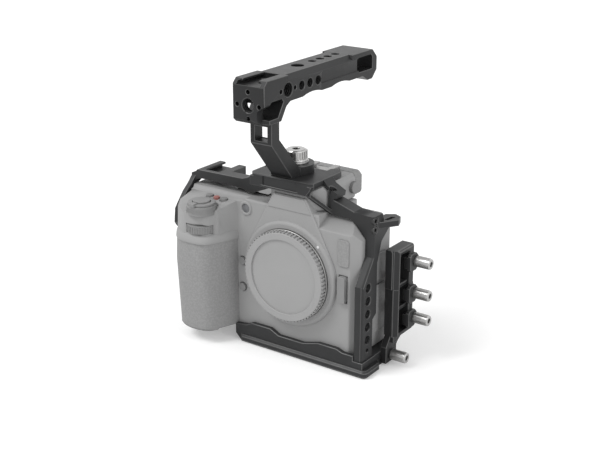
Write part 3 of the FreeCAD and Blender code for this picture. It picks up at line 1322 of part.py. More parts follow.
def make_all(doc, D):
    """Every piece of the rig, in order."""
    shop = Shop(doc)
    pieces = [
        cage_base_plate(doc, D), cage_side_arm(doc, D), cage_shoulder(doc, D), cage_top_plate(doc, D),
        cage_grip_arm(doc, D), cage_screws(shop, D), camera_screw(doc, D), base_pads(shop, D),
        handle_frame(doc, D), handle_pins(shop, D), handle_screw(doc, D), handle_washer(doc, D),
        shoe_stop(doc, D), clamp_bracket(doc, D), clamp_block(doc, D), clamp_washer(doc, D)]
    jaw_seat = D.clamp_outer + D.clamp_jaw_open + D.jaw_thick
    for index, height in enumerate((D.jaw_1_high, D.jaw_2_high, D.jaw_3_high), start=1):
        pieces.append(clamp_jaw(doc, D, index, height))
        pieces.append(clamp_screw(doc, D, "clamp_screw_%d" % index, D.clamp_axis, height,
                                  jaw_seat, D.clamp_outer - 6))
    pieces.append(clamp_screw(doc, D, "clamp_fixing_screw", D.foot_screw_y, D.foot_screw_z,
                              D.base_right + 5.6, D.base_right - 8))
    pieces += [
        camera_housing(doc, D), grip_rubber(doc, D), camera_hump(doc, D), hot_shoe(doc, D),
        mount_surround(doc, D), lens_mount(doc, D), body_cap(doc, D), lens_release(doc, D),
        front_cover(doc, D), shutter_collar(doc, D), power_switch(doc, D), shutter_button(doc, D),
        eyecup(doc, D), finder_glass(shop, D), diopter_dial(doc, D), screen_frame(doc, D),
        rear_screen(doc, D), screen_pane(shop, D), top_display(shop, D), multi_selector(doc, D),
        joystick(doc, D), dial(doc, D, "front_dial"), dial(doc, D, "rear_dial")]
    span = top_button_span(D)
    for name, (x, y, radius) in top_buttons(D).items():
        pieces.append(round_button(doc, name, "top", (x, y), radius, *span))
    for name, height in fn_buttons(D).items():
        pieces.append(round_button(doc, name, "front", (-41.7, height), 2.9, -1.4, 1.5))
    back = D.housing_back
    for name, (x, z, radius) in rear_buttons(D).items():
        pieces.append(round_button(doc, name, "front", (x, z), radius, back - 1.5, back + 1.2))
    pieces += doors(doc, D)
    return pieces


def main():
    doc = FreeCAD.newDocument("camera_rig")
    sizes = write_sheet(doc)
    pieces = make_all(doc, join_sizes(SimpleNamespace(**sizes)))
    doc.recompute()
    for thing in doc.Objects:
        if {"Invalid", "Error"} & set(thing.State):
            raise RuntimeError("%s did not build: %s" % (thing.Label, thing.State))
    os.makedirs("parts", exist_ok=True)
    for piece in pieces:
        if piece.Shape.isNull() or not piece.Shape.isValid():
            raise RuntimeError("%s has no valid shape" % piece.Label)
    for piece in pieces:
        piece.Shape.exportStep("parts/%s.step" % piece.Label)


main()
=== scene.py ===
"""Finishes the caged camera: machined cage and handle, cable clamp, camera, controls and the stage."""

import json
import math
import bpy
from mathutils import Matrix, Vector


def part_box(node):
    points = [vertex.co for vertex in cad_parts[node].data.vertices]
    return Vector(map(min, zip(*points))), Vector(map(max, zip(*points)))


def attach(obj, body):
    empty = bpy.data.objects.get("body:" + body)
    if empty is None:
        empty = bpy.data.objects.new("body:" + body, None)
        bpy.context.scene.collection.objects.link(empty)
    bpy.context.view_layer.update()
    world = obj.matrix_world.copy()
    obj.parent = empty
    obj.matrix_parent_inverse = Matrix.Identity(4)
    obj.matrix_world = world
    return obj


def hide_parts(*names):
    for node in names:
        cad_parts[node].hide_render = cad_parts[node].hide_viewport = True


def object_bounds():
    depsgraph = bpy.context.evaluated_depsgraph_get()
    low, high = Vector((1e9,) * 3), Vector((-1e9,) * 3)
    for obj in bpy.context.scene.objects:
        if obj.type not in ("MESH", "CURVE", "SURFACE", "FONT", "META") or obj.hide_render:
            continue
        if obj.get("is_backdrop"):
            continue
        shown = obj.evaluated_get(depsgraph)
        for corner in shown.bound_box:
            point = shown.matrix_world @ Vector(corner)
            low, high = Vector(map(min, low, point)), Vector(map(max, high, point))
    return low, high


bl_info = {
    "name": "Camera rig finish",
    "version": (1, 0, 0),
    "blender": (4, 5, 0),
    "location": "3D Viewport > Sidebar > Camera rig",
    "description": "Finishes a caged mirrorless camera with a top handle and a cable clamp",
    "category": "Object",
}

import bmesh
import bpy
from mathutils import Matrix, Vector
from mathutils.bvhtree import BVHTree
from mathutils.kdtree import KDTree

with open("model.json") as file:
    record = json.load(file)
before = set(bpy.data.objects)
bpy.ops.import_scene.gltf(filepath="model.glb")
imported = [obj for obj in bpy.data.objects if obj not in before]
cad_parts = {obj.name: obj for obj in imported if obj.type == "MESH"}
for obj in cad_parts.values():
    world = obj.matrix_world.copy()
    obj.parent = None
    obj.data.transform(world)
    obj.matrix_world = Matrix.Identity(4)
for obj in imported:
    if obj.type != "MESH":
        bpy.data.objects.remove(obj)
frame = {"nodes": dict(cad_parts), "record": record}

BODY = {node: body for body, nodes in frame["record"]["behaviour"]["bodies"].items() for node in nodes}
SLOT = {part["node"]: part["material_slot"] for part in frame["record"]["subparts"]}
MOUNTS = {mount["name"]: mount for mount in frame["record"]["mounts"]}

MM = 0.001
SEAM = 1e-6  # metres: corners of a built mesh nearer than this are one
CAD_SEAM = 2e-6  # metres: the same for a CAD mesh, whose triangles come loose
SPECK = 1e-9  # square metres: a smaller facet's direction can't be trusted
NEAR = 0.2 * MM  # a facet this close to the source lies on it
FLAT = math.radians(0.2)  # faces that turn less than this are one face
FAINT = math.radians(8)  # the least turn of an edge that may have a width of its own
SHARP = math.radians(34)  # edges that turn more than this are bevelled, or stay sharp
CORNER = math.radians(40)  # the same for the bevel of a built mesh
TRIES = 8  # how often one piece's bevel is made again at most

COARSE_PITCH = 1.27 * MM  # quarter-inch camera thread
STOUT_PITCH = 1.5875 * MM  # three-eighths-inch camera thread

WHITE = (1.0, 1.0, 1.0, 1.0)
NEUTRAL = (1.0, 1.0, 1.0)
COOL = (0.98, 1.0, 1.04)
WARM = (1.0, 0.985, 0.96)
RED = (1.0, 0.42, 0.38)


def middle(node):
    """The middle of a CAD node's box."""
    low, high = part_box(node)
    return (low + high) / 2


# ---------------------------------------------------------------- node trees


class Signal:
    """A node's output that joins others by plain arithmetic."""

    def __init__(self, graph, socket):
        self.graph = graph
        self.socket = socket

    def _math(self, operation, *values):
        return self.graph.node("ShaderNodeMath", {"operation": operation}, dict(enumerate(values)))

    def __add__(self, other):
        return self._math("ADD", self, other)

    def __sub__(self, other):
        return self._math("SUBTRACT", self, other)

    def __rsub__(self, other):
        return self._math("SUBTRACT", other, self)

    def __mul__(self, other):
        return self._math("MULTIPLY", self, other)

    __radd__ = __add__
    __rmul__ = __mul__

    def wave(self):
        """The sine of the value."""
        return self._math("SINE", self)

    def clamp(self):
        """The value held between 0 and 1."""
        return self.graph.node("ShaderNodeClamp", {}, {0: self})


class Graph:
    """A node tree whose nodes all come from one method."""

    def __init__(self, tree):
        self.tree = tree
        self.tree.nodes.clear()

    def node(self, kind, settings=None, inputs=None, output=0):
        """Make a node from its settings, then the values or links of its sockets, and give one output."""
        made = self.tree.nodes.new(kind)
        for key, value in (settings or {}).items():
            setattr(made, key, value)
        for key, value in (inputs or {}).items():
            if isinstance(value, Signal):
                self.tree.links.new(value.socket, made.inputs[key])
            else:
                made.inputs[key].default_value = value
        return Signal(self, made.outputs[output]) if made.outputs else None


class Finish(Graph):
    """The nodes of one material, on the object's own coordinates."""

    def __init__(self, name):
        self.material = bpy.data.materials.new(name)
        self.material.use_nodes = True
        super().__init__(self.material.node_tree)
        self.place = self.node("ShaderNodeTexCoord", output="Object")

    def noise(self, scale, detail=2.0, place=None):
        """Soft noise between 0 and 1; scale is in lumps to the metre."""
        return self.node("ShaderNodeTexNoise", {}, {
            "Vector": place or self.place, "Scale": scale, "Detail": detail, "Roughness": 0.55})

    def cells(self, scale):
        """Distance from the middles of scattered cells; scale is in cells to the metre."""
        return self.node("ShaderNodeTexVoronoi", {"feature": "SMOOTH_F1"}, {
            "Vector": self.place, "Scale": scale})

    def stretched(self, factors):
        """The place with each axis scaled by its own factor."""
        return self.node("ShaderNodeMapping", {}, {"Vector": self.place, "Scale": factors})

    def blend(self, mask, first, second):
        """A colour between two, by a mask."""
        return self.node("ShaderNodeMix", {"data_type": "RGBA"}, {0: mask, 6: first, 7: second}, output=2)

    def radius(self, centre, axis):
        """Distance from a straight line along an axis."""
        flat = Vector((1, 1, 1))
        flat["xyz".index(axis)] = 0
        moved = self.node("ShaderNodeVectorMath", {"operation": "SUBTRACT"}, {0: self.place, 1: centre})
        kept = self.node("ShaderNodeVectorMath", {"operation": "MULTIPLY"}, {0: moved, 1: flat})
        return self.node("ShaderNodeVectorMath", {"operation": "LENGTH"}, {0: kept}, output="Value")

    def bump(self, height, strength, depth):
        """A surface normal from a height pattern, whose full height is depth metres."""
        return self.node("ShaderNodeBump", {}, {"Strength": strength, "Distance": depth, "Height": height})

    def close(self, **sockets):
        """Feed the surface shader, join it to the output and give the material."""
        named = {key.replace("_", " "): value for key, value in sockets.items()}
        return self.end(self.node("ShaderNodeBsdfPrincipled", {}, named))

    def end(self, shader):
        """Join a shader to the material's output and give the material."""
        self.node("ShaderNodeOutputMaterial", {}, {"Surface": shader})
        return self.material


def shade(tone, factor=1.0, tint=NEUTRAL):
    """A colour from one grey tone."""
    return tuple(tone * factor * channel for channel in tint) + (1.0,)


# ---------------------------------------------------------------- finishes


def anodised(name, tone, rough):
    """Bead-blasted and anodised aluminium: cloudy black with a fine matt grain."""
    f = Finish(name)
    colour = f.blend(f.noise(55, 3), shade(tone, 0.82), shade(tone, 1.2, COOL))
    return f.close(Base_Color=colour, Metallic=0.25, Specular_IOR_Level=0.3,
                   Roughness=rough + 0.12 * (f.noise(130, 2) - 0.5),
                   Normal=f.bump(f.noise(3200, 2), 0.25, 0.04 * MM))


def painted_edge_highlight(name, tone):
    """Painted highlight on the chamfers: a lighter, more metallic tone on the bevels that stands in for
    light catching them.
    """
    f = Finish(name)
    # painted highlight: the bevels' colour is a lighter grey than the anodised faces
    colour = f.blend(f.noise(240, 3), shade(tone, 0.7), shade(tone, 1.35))
    return f.close(Base_Color=colour, Metallic=0.45, Roughness=0.3 + 0.15 * f.noise(600),
                   Normal=f.bump(f.noise(2400), 0.15, 0.03 * MM))


def turned_steel(name, tone, axis, centre, rough=0.24):
    """Bright plated steel with fine turning marks about its own axis."""
    f = Finish(name)
    marks_apart = 0.35 * MM
    rings = (f.radius(centre, axis) * (2 * math.pi / marks_apart)).wave() * 0.5 + 0.5
    smear = f.noise(420, 3)
    colour = f.blend(smear, shade(tone, 0.9, WARM), shade(tone, 1.08))
    return f.close(Base_Color=colour, Metallic=1.0, Roughness=rough + 0.12 * smear,
                   Normal=f.bump(rings * 0.6 + f.noise(1500) * 0.4, 0.12, 0.03 * MM))


def blackened_steel(name, tone):
    """Black oxide on small screws."""
    f = Finish(name)
    worn = f.noise(700, 3)
    colour = f.blend(worn, shade(tone, 0.7), shade(tone, 1.5))
    return f.close(Base_Color=colour, Metallic=0.7, Roughness=0.3 + 0.2 * worn,
                   Normal=f.bump(f.noise(2600), 0.2, 0.03 * MM))


def painted_shell(name, tone, rough=0.62):
    """Mid-grey painted magnesium with a fine crinkle."""
    f = Finish(name)
    crinkle = f.cells(2100) * 0.7 + f.noise(4200, 2) * 0.3
    colour = f.blend(f.noise(24, 2), shade(tone, 0.96), shade(tone, 1.04))
    return f.close(Base_Color=colour, Roughness=rough + 0.08 * (f.noise(200) - 0.5),
                   Normal=f.bump(crinkle, 0.22, 0.07 * MM))


def grained_rubber(name, tone):
    """Leather-grained rubber: raised pebbles with fine creases between them, the creases darkened by painted
    shade.
    """
    f = Finish(name)
    crease = (f.cells(820) * 1.7).clamp()
    # painted shade: the colour is darker in the creases between the pebbles
    colour = f.blend(crease, shade(tone, 1.03), shade(tone, 0.86))
    height = 1.0 - crease + f.noise(3000, 2) * 0.15
    return f.close(Base_Color=colour, Roughness=0.78 + 0.06 * f.noise(500),
                   Normal=f.bump(height, 0.3, 0.14 * MM))


def plain_rubber(name, tone):
    """Matt black rubber with a dusty bloom."""
    f = Finish(name)
    colour = f.blend(f.noise(160, 3), shade(tone, 0.8), shade(tone, 1.6))
    return f.close(Base_Color=colour, Roughness=0.85, Normal=f.bump(f.noise(1700, 3), 0.3, 0.06 * MM))


def moulded_plastic(name, tone, rough=0.5, tint=NEUTRAL):
    """Moulded plastic with a spark-eroded texture."""
    f = Finish(name)
    spark = f.noise(2600, 3)
    colour = f.blend(f.noise(35, 2), shade(tone, 0.95, tint), shade(tone, 1.06, tint))
    return f.close(Base_Color=colour, Roughness=rough + 0.1 * (spark - 0.5),
                   Normal=f.bump(spark, 0.18, 0.05 * MM))


def dark_glass(name, tone):
    """Coated display glass: near black, with faint wiping marks."""
    f = Finish(name)
    wipe = f.noise(60, 4, f.stretched((1.0, 1.0, 0.25)))
    colour = f.blend(wipe, shade(tone, 0.8, COOL), shade(tone, 1.3, (0.98, 1.0, 1.06)))
    return f.close(Base_Color=colour, Roughness=0.07 + 0.08 * wipe, Coat_Weight=0.6)


def painted_mark(name, tone):
    """White index paint, slightly chalky."""
    f = Finish(name)
    chalk = f.noise(2200, 2)
    colour = f.blend(chalk, shade(tone, 0.94), shade(tone))
    return f.close(Base_Color=colour, Roughness=0.55 + 0.1 * chalk)


FINISHES = {}


def finish(name):
    """The material of one name, made when it is first asked for."""
    if name not in FINISHES:
        look = bpy.context.scene.rig_look
        recipes = {
            "cage_metal": (anodised, look.cage_tone, 0.42),
            "handle_metal": (anodised, look.handle_tone, 0.38),
            "clamp_metal": (anodised, look.clamp_tone, 0.4),
            # the bevels' lighter finish paints a highlight on the chamfers
            "edge_metal": (painted_edge_highlight, look.edge_highlight_tone),
            "black_steel": (blackened_steel, 0.05),
            "knob_steel": (turned_steel, look.steel_tone, "z", middle("handle_screw")),
            "screw_steel": (turned_steel, look.steel_tone, "x", middle("clamp_screw_2")),
            "mount_steel": (turned_steel, look.mount_tone, "y", middle("lens_mount"), 0.34),
            "pad_rubber": (plain_rubber, 0.02),
            "camera_shell": (painted_shell, look.shell_tone),
            "camera_rubber": (grained_rubber, look.rubber_tone),
            "camera_controls": (moulded_plastic, look.control_tone),
            "cap_plastic": (moulded_plastic, look.cap_tone, 0.55),
            "record_red": (moulded_plastic, 0.38, 0.4, RED),
            "display_glass": (dark_glass, look.glass_tone),
            "deep_shadow": (moulded_plastic, look.control_tone * 0.25, 0.8),
            "white_mark": (painted_mark, 0.8),
            "lamp_glass": (dark_glass, look.control_tone * 0.6),
        }
        maker, *values = recipes[name]
        FINISHES[name] = maker(name, *values)
    return FINISHES[name]


# ---------------------------------------------------------------- pieces


def put(name, data, body):
    """A finished piece in the scene, riding on its body."""
    piece = bpy.data.objects.new(name, data)
    bpy.context.scene.collection.objects.link(piece)
    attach(piece, body)
    return piece


DRESSED = set()


def stand_for(piece, node):
    """Say that a finished piece takes a CAD node's place."""
    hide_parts(node)
    DRESSED.add(node)


def evaluated(carrier):
    """The plain mesh that an object's modifiers make of it; the object itself goes."""
    graph = bpy.context.evaluated_depsgraph_get()
    data = bpy.data.meshes.new_from_object(carrier.evaluated_get(graph))
    bpy.data.objects.remove(carrier)
    return data


def settled(data, steps):
    """A mesh with modifiers applied, given as (type, settings)."""
    carrier = bpy.data.objects.new(data.name, data)
    bpy.context.scene.collection.objects.link(carrier)
    for kind, settings in steps:
        modifier = carrier.modifiers.new(kind.title(), kind)
        for key, value in settings.items():
            setattr(modifier, key, value)
    return evaluated(carrier)


def dressed_mesh(name, mesh, looks):
    """A mesh with its finishes, smooth but for its sharp edges."""
    for face in mesh.faces:
        face.material_index = 0
        face.smooth = True
    data = bpy.data.meshes.new(name)
    mesh.to_mesh(data)
    for look in looks:
        data.materials.append(finish(look))
    data.set_sharp_from_angle(angle=SHARP)
    return data


def merged(node):
    """A CAD node's mesh with its loose triangles joined."""
    mesh = bmesh.new()
    mesh.from_mesh(frame["nodes"][node].data)
    bmesh.ops.remove_doubles(mesh, verts=mesh.verts, dist=CAD_SEAM)
    return mesh


def room(line):
    """The bevel width an edge has room for between the edges it meets, apart from those it runs on into."""
    nearly_in_line, share = 0.9, 0.45
    run = (line.verts[1].co - line.verts[0].co).normalized()
    least = 1.0
    for vert in line.verts:
        for other in vert.link_edges:
            way = other.other_vert(vert).co - vert.co
            if other is not line and abs(way.normalized().dot(run)) < nearly_in_line:
                least = min(least, (way - run * way.dot(run)).length)
    return least * share


def outer_edges(mesh, width, wider):
    """The edges to soften, each with its bevel width; inner corners are left alone."""
    own = {}
    for line in mesh.edges:
        turn = line.calc_face_angle_signed(0.0)
        ends = [vert.co for vert in line.verts]
        special = wider(*ends) if wider and turn > FAINT else None
        if special or turn > SHARP:
            own[line] = min(special or width, room(line))
    return own


def folded(data, source, reach):
    """The corners of facets that a bevel has turned over or pushed off the source's surface."""
    data.calc_loop_triangles()
    spots = []
    for facet in data.loop_triangles:
        if facet.area < SPECK:
            continue
        corners = [data.vertices[i].co for i in facet.vertices]
        _, normal, _, gap = source.find_nearest(sum(corners, Vector()) / 3)
        turned_over = gap < NEAR and facet.normal.dot(normal) < -0.3
        if gap > reach or turned_over:
            spots += corners
    return spots


def refine(node, width, look, edge=None, segments=2, wider=None):
    """A merged copy of a CAD node with softened outer edges, which then stands for the node.

    edge is the finish of the bevels, where they have their own: a lighter tone that paints a highlight on
    them. wider gives an edge's own width from its two ends, or None for the common width. Where a bevel
    folds over itself, the edges round the fold are left sharp and the bevel is made again.
    """
    mesh = merged(node)
    source = BVHTree.FromBMesh(mesh)
    bmesh.ops.dissolve_limit(mesh, angle_limit=FLAT, verts=mesh.verts, edges=mesh.edges)
    bmesh.ops.connect_verts_concave(mesh, faces=mesh.faces)
    weights = mesh.edges.layers.float.new("bevel_weight_edge")
    own = outer_edges(mesh, width, wider)
    widest = max(own.values(), default=width)
    corners = KDTree(len(mesh.verts))
    for vert in mesh.verts:
        corners.insert(vert.co, vert.index)
    corners.balance()
    mesh.verts.ensure_lookup_table()
    name = node + "_finished"
    looks = [look, edge] if edge else [look]
    steps = [
        ("BEVEL", {"limit_method": "WEIGHT", "width": widest, "segments": segments,
                   "use_clamp_overlap": False, "loop_slide": False, "miter_outer": "MITER_SHARP",
                   "material": 1 if edge else -1}),
        ("WEIGHTED_NORMAL", {"keep_sharp": True})]
    for _ in range(TRIES):
        for line, size in own.items():
            line[weights] = size / widest
        data = settled(dressed_mesh(name, mesh, looks), steps)
        near = {corners.find(spot)[1] for spot in folded(data, source, 0.1 * MM + widest / 2)}
        if not near:
            break
        for line in {line for index in near for line in mesh.verts[index].link_edges if line in own}:
            own.pop(line)
            line[weights] = 0.0
    mesh.free()
    stand_for(put(name, data, BODY[node]), node)


def built(name, mesh, look, bevel=0.0, segments=2):
    """A fixed piece from a built mesh, with its faces turned outwards and its edges softened."""
    bmesh.ops.remove_doubles(mesh, verts=mesh.verts, dist=SEAM)
    bmesh.ops.recalc_face_normals(mesh, faces=mesh.faces)
    data = dressed_mesh(name, mesh, [look])
    mesh.free()
    steps = [("WEIGHTED_NORMAL", {"keep_sharp": True})]
    if bevel:
        steps.insert(0, ("BEVEL", {"limit_method": "ANGLE", "angle_limit": CORNER, "width": bevel,
                                   "segments": segments, "use_clamp_overlap": True}))
    return put(name, settled(data, steps), "rig")


# ---------------------------------------------------------------- placements and outlines


def upright_to(axis, centre):
    """The placement that turns a shape's own Z to an axis and puts it at a centre."""
    return Matrix.Translation(Vector(centre)) @ Vector(axis).to_track_quat("Z", "Y").to_matrix().to_4x4()


def wall(along, centre):
    """The placement of an upright plane: X runs along a level direction, Y is up and Z points out of it."""
    across, up = Vector(along).normalized(), Vector((0, 0, 1))
    return Matrix.Translation(Vector(centre)) @ Matrix((across, up, across.cross(up))).transposed().to_4x4()


FRONT = wall((1, 0, 0), (0, 0, 0))  # the camera's front: X across, Y up and Z forwards


def hull(points):
    """The outline round a set of flat points, anticlockwise."""
    points = sorted(set(points))

    def half(run):
        kept = []
        for point in run:
            while len(kept) > 1 and (
                    (kept[-1][0] - kept[-2][0]) * (point[1] - kept[-2][1])
                    - (kept[-1][1] - kept[-2][1]) * (point[0] - kept[-2][0])) <= 1e-12:
                kept.pop()
            kept.append(point)
        return kept[:-1]

    return half(points) + half(points[::-1])


def circle(radius, count, u=0.0, v=0.0):
    """Flat points round a centre."""
    turns = [2 * math.pi * i / count for i in range(count)]
    return [(u + radius * math.cos(turn), v + radius * math.sin(turn)) for turn in turns]


def rounded(u0, u1, v0, v1, radius, count=6):
    """The outline of a rectangle with round corners."""
    corners = []
    for u, v, start in ((u1 - radius, v1 - radius, 0), (u0 + radius, v1 - radius, 1),
                        (u0 + radius, v0 + radius, 2), (u1 - radius, v0 + radius, 3)):
        for i in range(count + 1):
            turn = math.pi / 2 * (start + i / count)
            corners.append((u + radius * math.cos(turn), v + radius * math.sin(turn)))
    return corners


def smooth_line(points, times=3):
    """An open line with its corners cut again and again, between fixed ends."""
    for _ in range(times):
        cut = [points[0]]
        for a, b in zip(points, points[1:]):
            for share in (0.25, 0.75):
                cut.append(tuple((1 - share) * u + share * v for u, v in zip(a, b)))
        points = cut + [points[-1]]
    return points


def grip_ring(level, proud, back=4.0 * MM):
    """The grip's smooth outline at a height, moved outward from the rubber's own face.

    It is fullest at the lens's height and draws in towards the foot and the deck. back is where its open end
    lies: behind the housing's front, or before it for an outline that stays clear of the housing.
    """
    low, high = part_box("grip_rubber")
    lens, foot = middle("lens_mount").z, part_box("camera_housing")[0].z
    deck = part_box("camera_hump")[0].z - 2 * MM
    if level < lens:
        share, front_draw, side_draw = (lens - level) / (lens - foot), 0.07, 0.015
    else:
        share, front_draw, side_draw = (level - lens) / (deck - lens), 0.08, 0.011
    left = low.x * (1 - side_draw * share) - min(proud, -0.3 * MM)
    face = low.y * (1 - front_draw * share) - proud
    right = high.x + proud
    bulge = [(left + 4.5 * MM, face * 0.82), (left + 13 * MM, face), (right - 17 * MM, face),
             (right - 10 * MM, face * 0.9)]
    if back < 0:
        line = [(left + 1.5 * MM, back)] + bulge + [(right - 6.5 * MM, back)]
    else:
        line = [(left, back), (left, face * 0.5)] + bulge + [
            (right - 5.5 * MM, face * 0.6), (right, 0.0), (right, back)]
    return [(x, y, level) for x, y in smooth_line(line)]


# ---------------------------------------------------------------- solids


def skin(mesh, rings, place=Matrix(), joined=False):
    """Add a closed body through rings of corners. Its end rings are capped, or joined to each other."""
    rows = [[mesh.verts.new(place @ Vector(corner)) for corner in ring] for ring in rings]
    count = len(rows[0])
    for near, far in zip(rows, rows[1:] + rows[:1] if joined else rows[1:]):
        for i in range(count):
            k = (i + 1) % count
            mesh.faces.new((near[i], near[k], far[k], far[i]))
    if not joined:
        mesh.faces.new(rows[0][::-1])
        mesh.faces.new(rows[-1])


def slab(mesh, outline, low, high, place):
    """Add a plate of one outline between two heights along the placement's Z."""
    skin(mesh, [[(u, v, w) for u, v in outline] for w in (low, high)], place)


def spun(mesh, profile, place, count=48):
    """Add a closed profile, given in millimetres as (radius, height), turned about the placement's Z."""
    skin(mesh, [[(u * r * MM, v * r * MM, w * MM) for r, w in profile] for u, v in circle(1.0, count)],
         place, joined=True)


def socket_head(mesh, place, radius, high, across, deep, count=36):
    """Add a round screw head with a chamfered rim and a hex socket; its top is at height 0."""
    chamfer, sixth = 0.25 * MM, math.pi / 3
    rings = []
    for size, w in ((radius, -high), (radius, -chamfer), (radius - chamfer, 0.0)):
        rings.append([(u, v, w) for u, v in circle(size, count)])
    for w in (0.0, -deep):
        hexagon = []
        for u, v in circle(1.0, count):
            reach = across / 2 / math.cos(math.atan2(v, u) % sixth - sixth / 2)
            hexagon.append((u * reach, v * reach, w))
        rings.append(hexagon)
    skin(mesh, rings, place)


def islands(node):
    """The boxes of the separate solids of a CAD node, lowest first."""
    mesh = merged(node)
    left, boxes = set(mesh.verts), []
    while left:
        queue = [left.pop()]
        group = []
        while queue:
            vert = queue.pop()
            group.append(vert.co.copy())
            for line in vert.link_edges:
                other = line.other_vert(vert)
                if other in left:
                    left.remove(other)
                    queue.append(other)
        boxes.append((Vector(map(min, zip(*group))), Vector(map(max, zip(*group)))))
    mesh.free()
    return sorted(boxes, key=lambda pair: tuple(pair[0]))


# ---------------------------------------------------------------- repeats


class Tree(Graph):
    """A Geometry Nodes tree with named inputs, which ends in realised instances with one material."""

    def __init__(self, name, **sizes):
        super().__init__(bpy.data.node_groups.new(name, "GeometryNodeTree"))
        self.tree.interface.new_socket("Geometry", in_out="OUTPUT", socket_type="NodeSocketGeometry")
        for size, kind in dict(sizes, Material="Material").items():
            self.tree.interface.new_socket(size, in_out="INPUT", socket_type="NodeSocket" + kind)

    def size(self, name):
        """The value of a named input."""
        return self.node("NodeGroupInput", output=name)

    def end(self, points, instance, rotation=None):
        """Put the instance on the points, make it real, give it the material and give the tree."""
        inputs = {"Points": points, "Instance": instance}
        if rotation:
            inputs["Rotation"] = rotation
        placed = self.node("GeometryNodeInstanceOnPoints", {}, inputs)
        real = self.node("GeometryNodeRealizeInstances", {}, {"Geometry": placed})
        shown = self.node("GeometryNodeSetMaterial", {}, {
            "Geometry": real, "Material": self.size("Material")})
        self.node("NodeGroupOutput", {}, {"Geometry": shown})
        return self.tree


def ribs_tree():
    """Bars evenly round a circle, each turned to face outwards."""
    t = Tree("ribs_round_an_axis", Count="Int", Radius="Float", Bar="Vector")
    ring = t.node("GeometryNodeMeshCircle", {}, {"Vertices": t.size("Count"), "Radius": t.size("Radius")})
    outward = t.node("FunctionNodeAlignRotationToVector", {"axis": "X", "pivot_axis": "Z"}, {
        "Vector": t.node("GeometryNodeInputPosition")})
    return t.end(ring, t.node("GeometryNodeMeshCube", {}, {"Size": t.size("Bar")}), outward)


def rings_tree():
    """Round wires in a row along an axis, as the crests of a thread."""
    t = Tree("rings_along_an_axis", Count="Int", Step="Vector", Radius="Float", Wire="Float")
    row = t.node("GeometryNodeMeshLine", {"mode": "OFFSET"}, {
        "Count": t.size("Count"), "Offset": t.size("Step")})
    path = t.node("GeometryNodeCurvePrimitiveCircle", {}, {"Resolution": 28, "Radius": t.size("Radius")})
    wire = t.node("GeometryNodeCurvePrimitiveCircle", {}, {"Resolution": 4, "Radius": t.size("Wire")})
    return t.end(row, t.node("GeometryNodeCurveToMesh", {}, {"Curve": path, "Profile Curve": wire}))


def dots_tree():
    """Small round studs in a grid."""
    t = Tree("studs_in_a_grid", Across="Int", Up="Int", Wide="Float", High="Float", Radius="Float",
             Depth="Float")
    grid = t.node("GeometryNodeMeshGrid", {}, {
        "Size X": t.size("Wide"), "Size Y": t.size("High"),
        "Vertices X": t.size("Across"), "Vertices Y": t.size("Up")})
    stud = t.node("GeometryNodeMeshCylinder", {}, {
        "Vertices": 12, "Radius": t.size("Radius"), "Depth": t.size("Depth")})
    return t.end(grid, stud)


TREES = {}


def grow(name, maker, sizes, look, place, body="rig"):
    """Run a tree with its inputs by name and keep the result as a plain piece at its place."""
    if maker not in TREES:
        TREES[maker] = maker()
    tree = TREES[maker]
    carrier = bpy.data.objects.new(name + "_carrier", bpy.data.meshes.new(name + "_carrier"))
    bpy.context.scene.collection.objects.link(carrier)
    modifier = carrier.modifiers.new(name, "NODES")
    modifier.node_group = tree
    sockets = {item.name: item.identifier for item in tree.interface.items_tree
               if item.item_type == "SOCKET" and item.in_out == "INPUT"}
    for key, value in dict(sizes, Material=finish(look)).items():
        modifier[sockets[key]] = value
    data = evaluated(carrier)
    data.transform(place)
    data.name = name
    if not data.polygons:
        raise RuntimeError(name + " came out empty")
    put(name, data, body)


# ---------------------------------------------------------------- settings


def grey(name, description, default):
    """A setting for one grey tone."""
    return bpy.props.FloatProperty(name=name, description=description, default=default, min=0, max=1)


def strength(name, description, default):
    """A setting for how much light there is."""
    return bpy.props.FloatProperty(name=name, description=description, default=default, min=0)


def angle(name, description, degrees):
    """A setting for an angle."""
    return bpy.props.FloatProperty(
        name=name, description=description, default=math.radians(degrees), subtype="ANGLE")


class RigLook(bpy.types.PropertyGroup):
    """Tones and sizes of the finishes."""

    cage_tone: grey("Cage", "Grey of the anodised cage", 0.034)
    handle_tone: grey("Handle", "Grey of the anodised handle", 0.026)
    clamp_tone: grey("Clamp", "Grey of the cable clamp", 0.03)
    # a lighter grey for the bevels, which paints a highlight on the chamfers
    edge_highlight_tone: grey("Edges", "Grey of the machined edges", 0.1)
    steel_tone: grey("Steel", "Grey of the bright screws", 0.52)
    mount_tone: grey("Mount", "Grey of the lens mount", 0.42)
    shell_tone: grey("Shell", "Grey of the camera's shell", 0.32)
    rubber_tone: grey("Rubber", "Grey of the camera's rubber", 0.31)
    control_tone: grey("Controls", "Grey of buttons and dials", 0.24)
    cap_tone: grey("Cap", "Grey of the body cap", 0.33)
    glass_tone: grey("Glass", "Grey of the display glass", 0.03)
    edge_width: bpy.props.FloatProperty(
        name="Edge width", description="Width of the softened metal edges", default=0.4 * MM, unit="LENGTH")


class RigStage(bpy.types.PropertyGroup):
    """The camera, the lamps and the floor."""

    camera_place: bpy.props.FloatVectorProperty(
        name="Camera", description="Where the camera stands", default=(0.4247, -0.5950, 0.3641),
        subtype="TRANSLATION")
    azimuth: angle("Azimuth", "View direction about the vertical", 35.0)
    elevation: angle("Elevation", "View direction above the floor", 20.1)
    lens: bpy.props.FloatProperty(name="Lens", description="Focal length in millimetres", default=68.46)
    floor_tone: grey("Floor", "Grey of the floor", 0.82)
    sky: strength("Sky", "Light from all round", 0.74)
    key: strength("Key", "Strength of the main lamp", 1.4)
    fill: strength("Fill", "Strength of the second lamp", 0.55)


# ---------------------------------------------------------------- operators


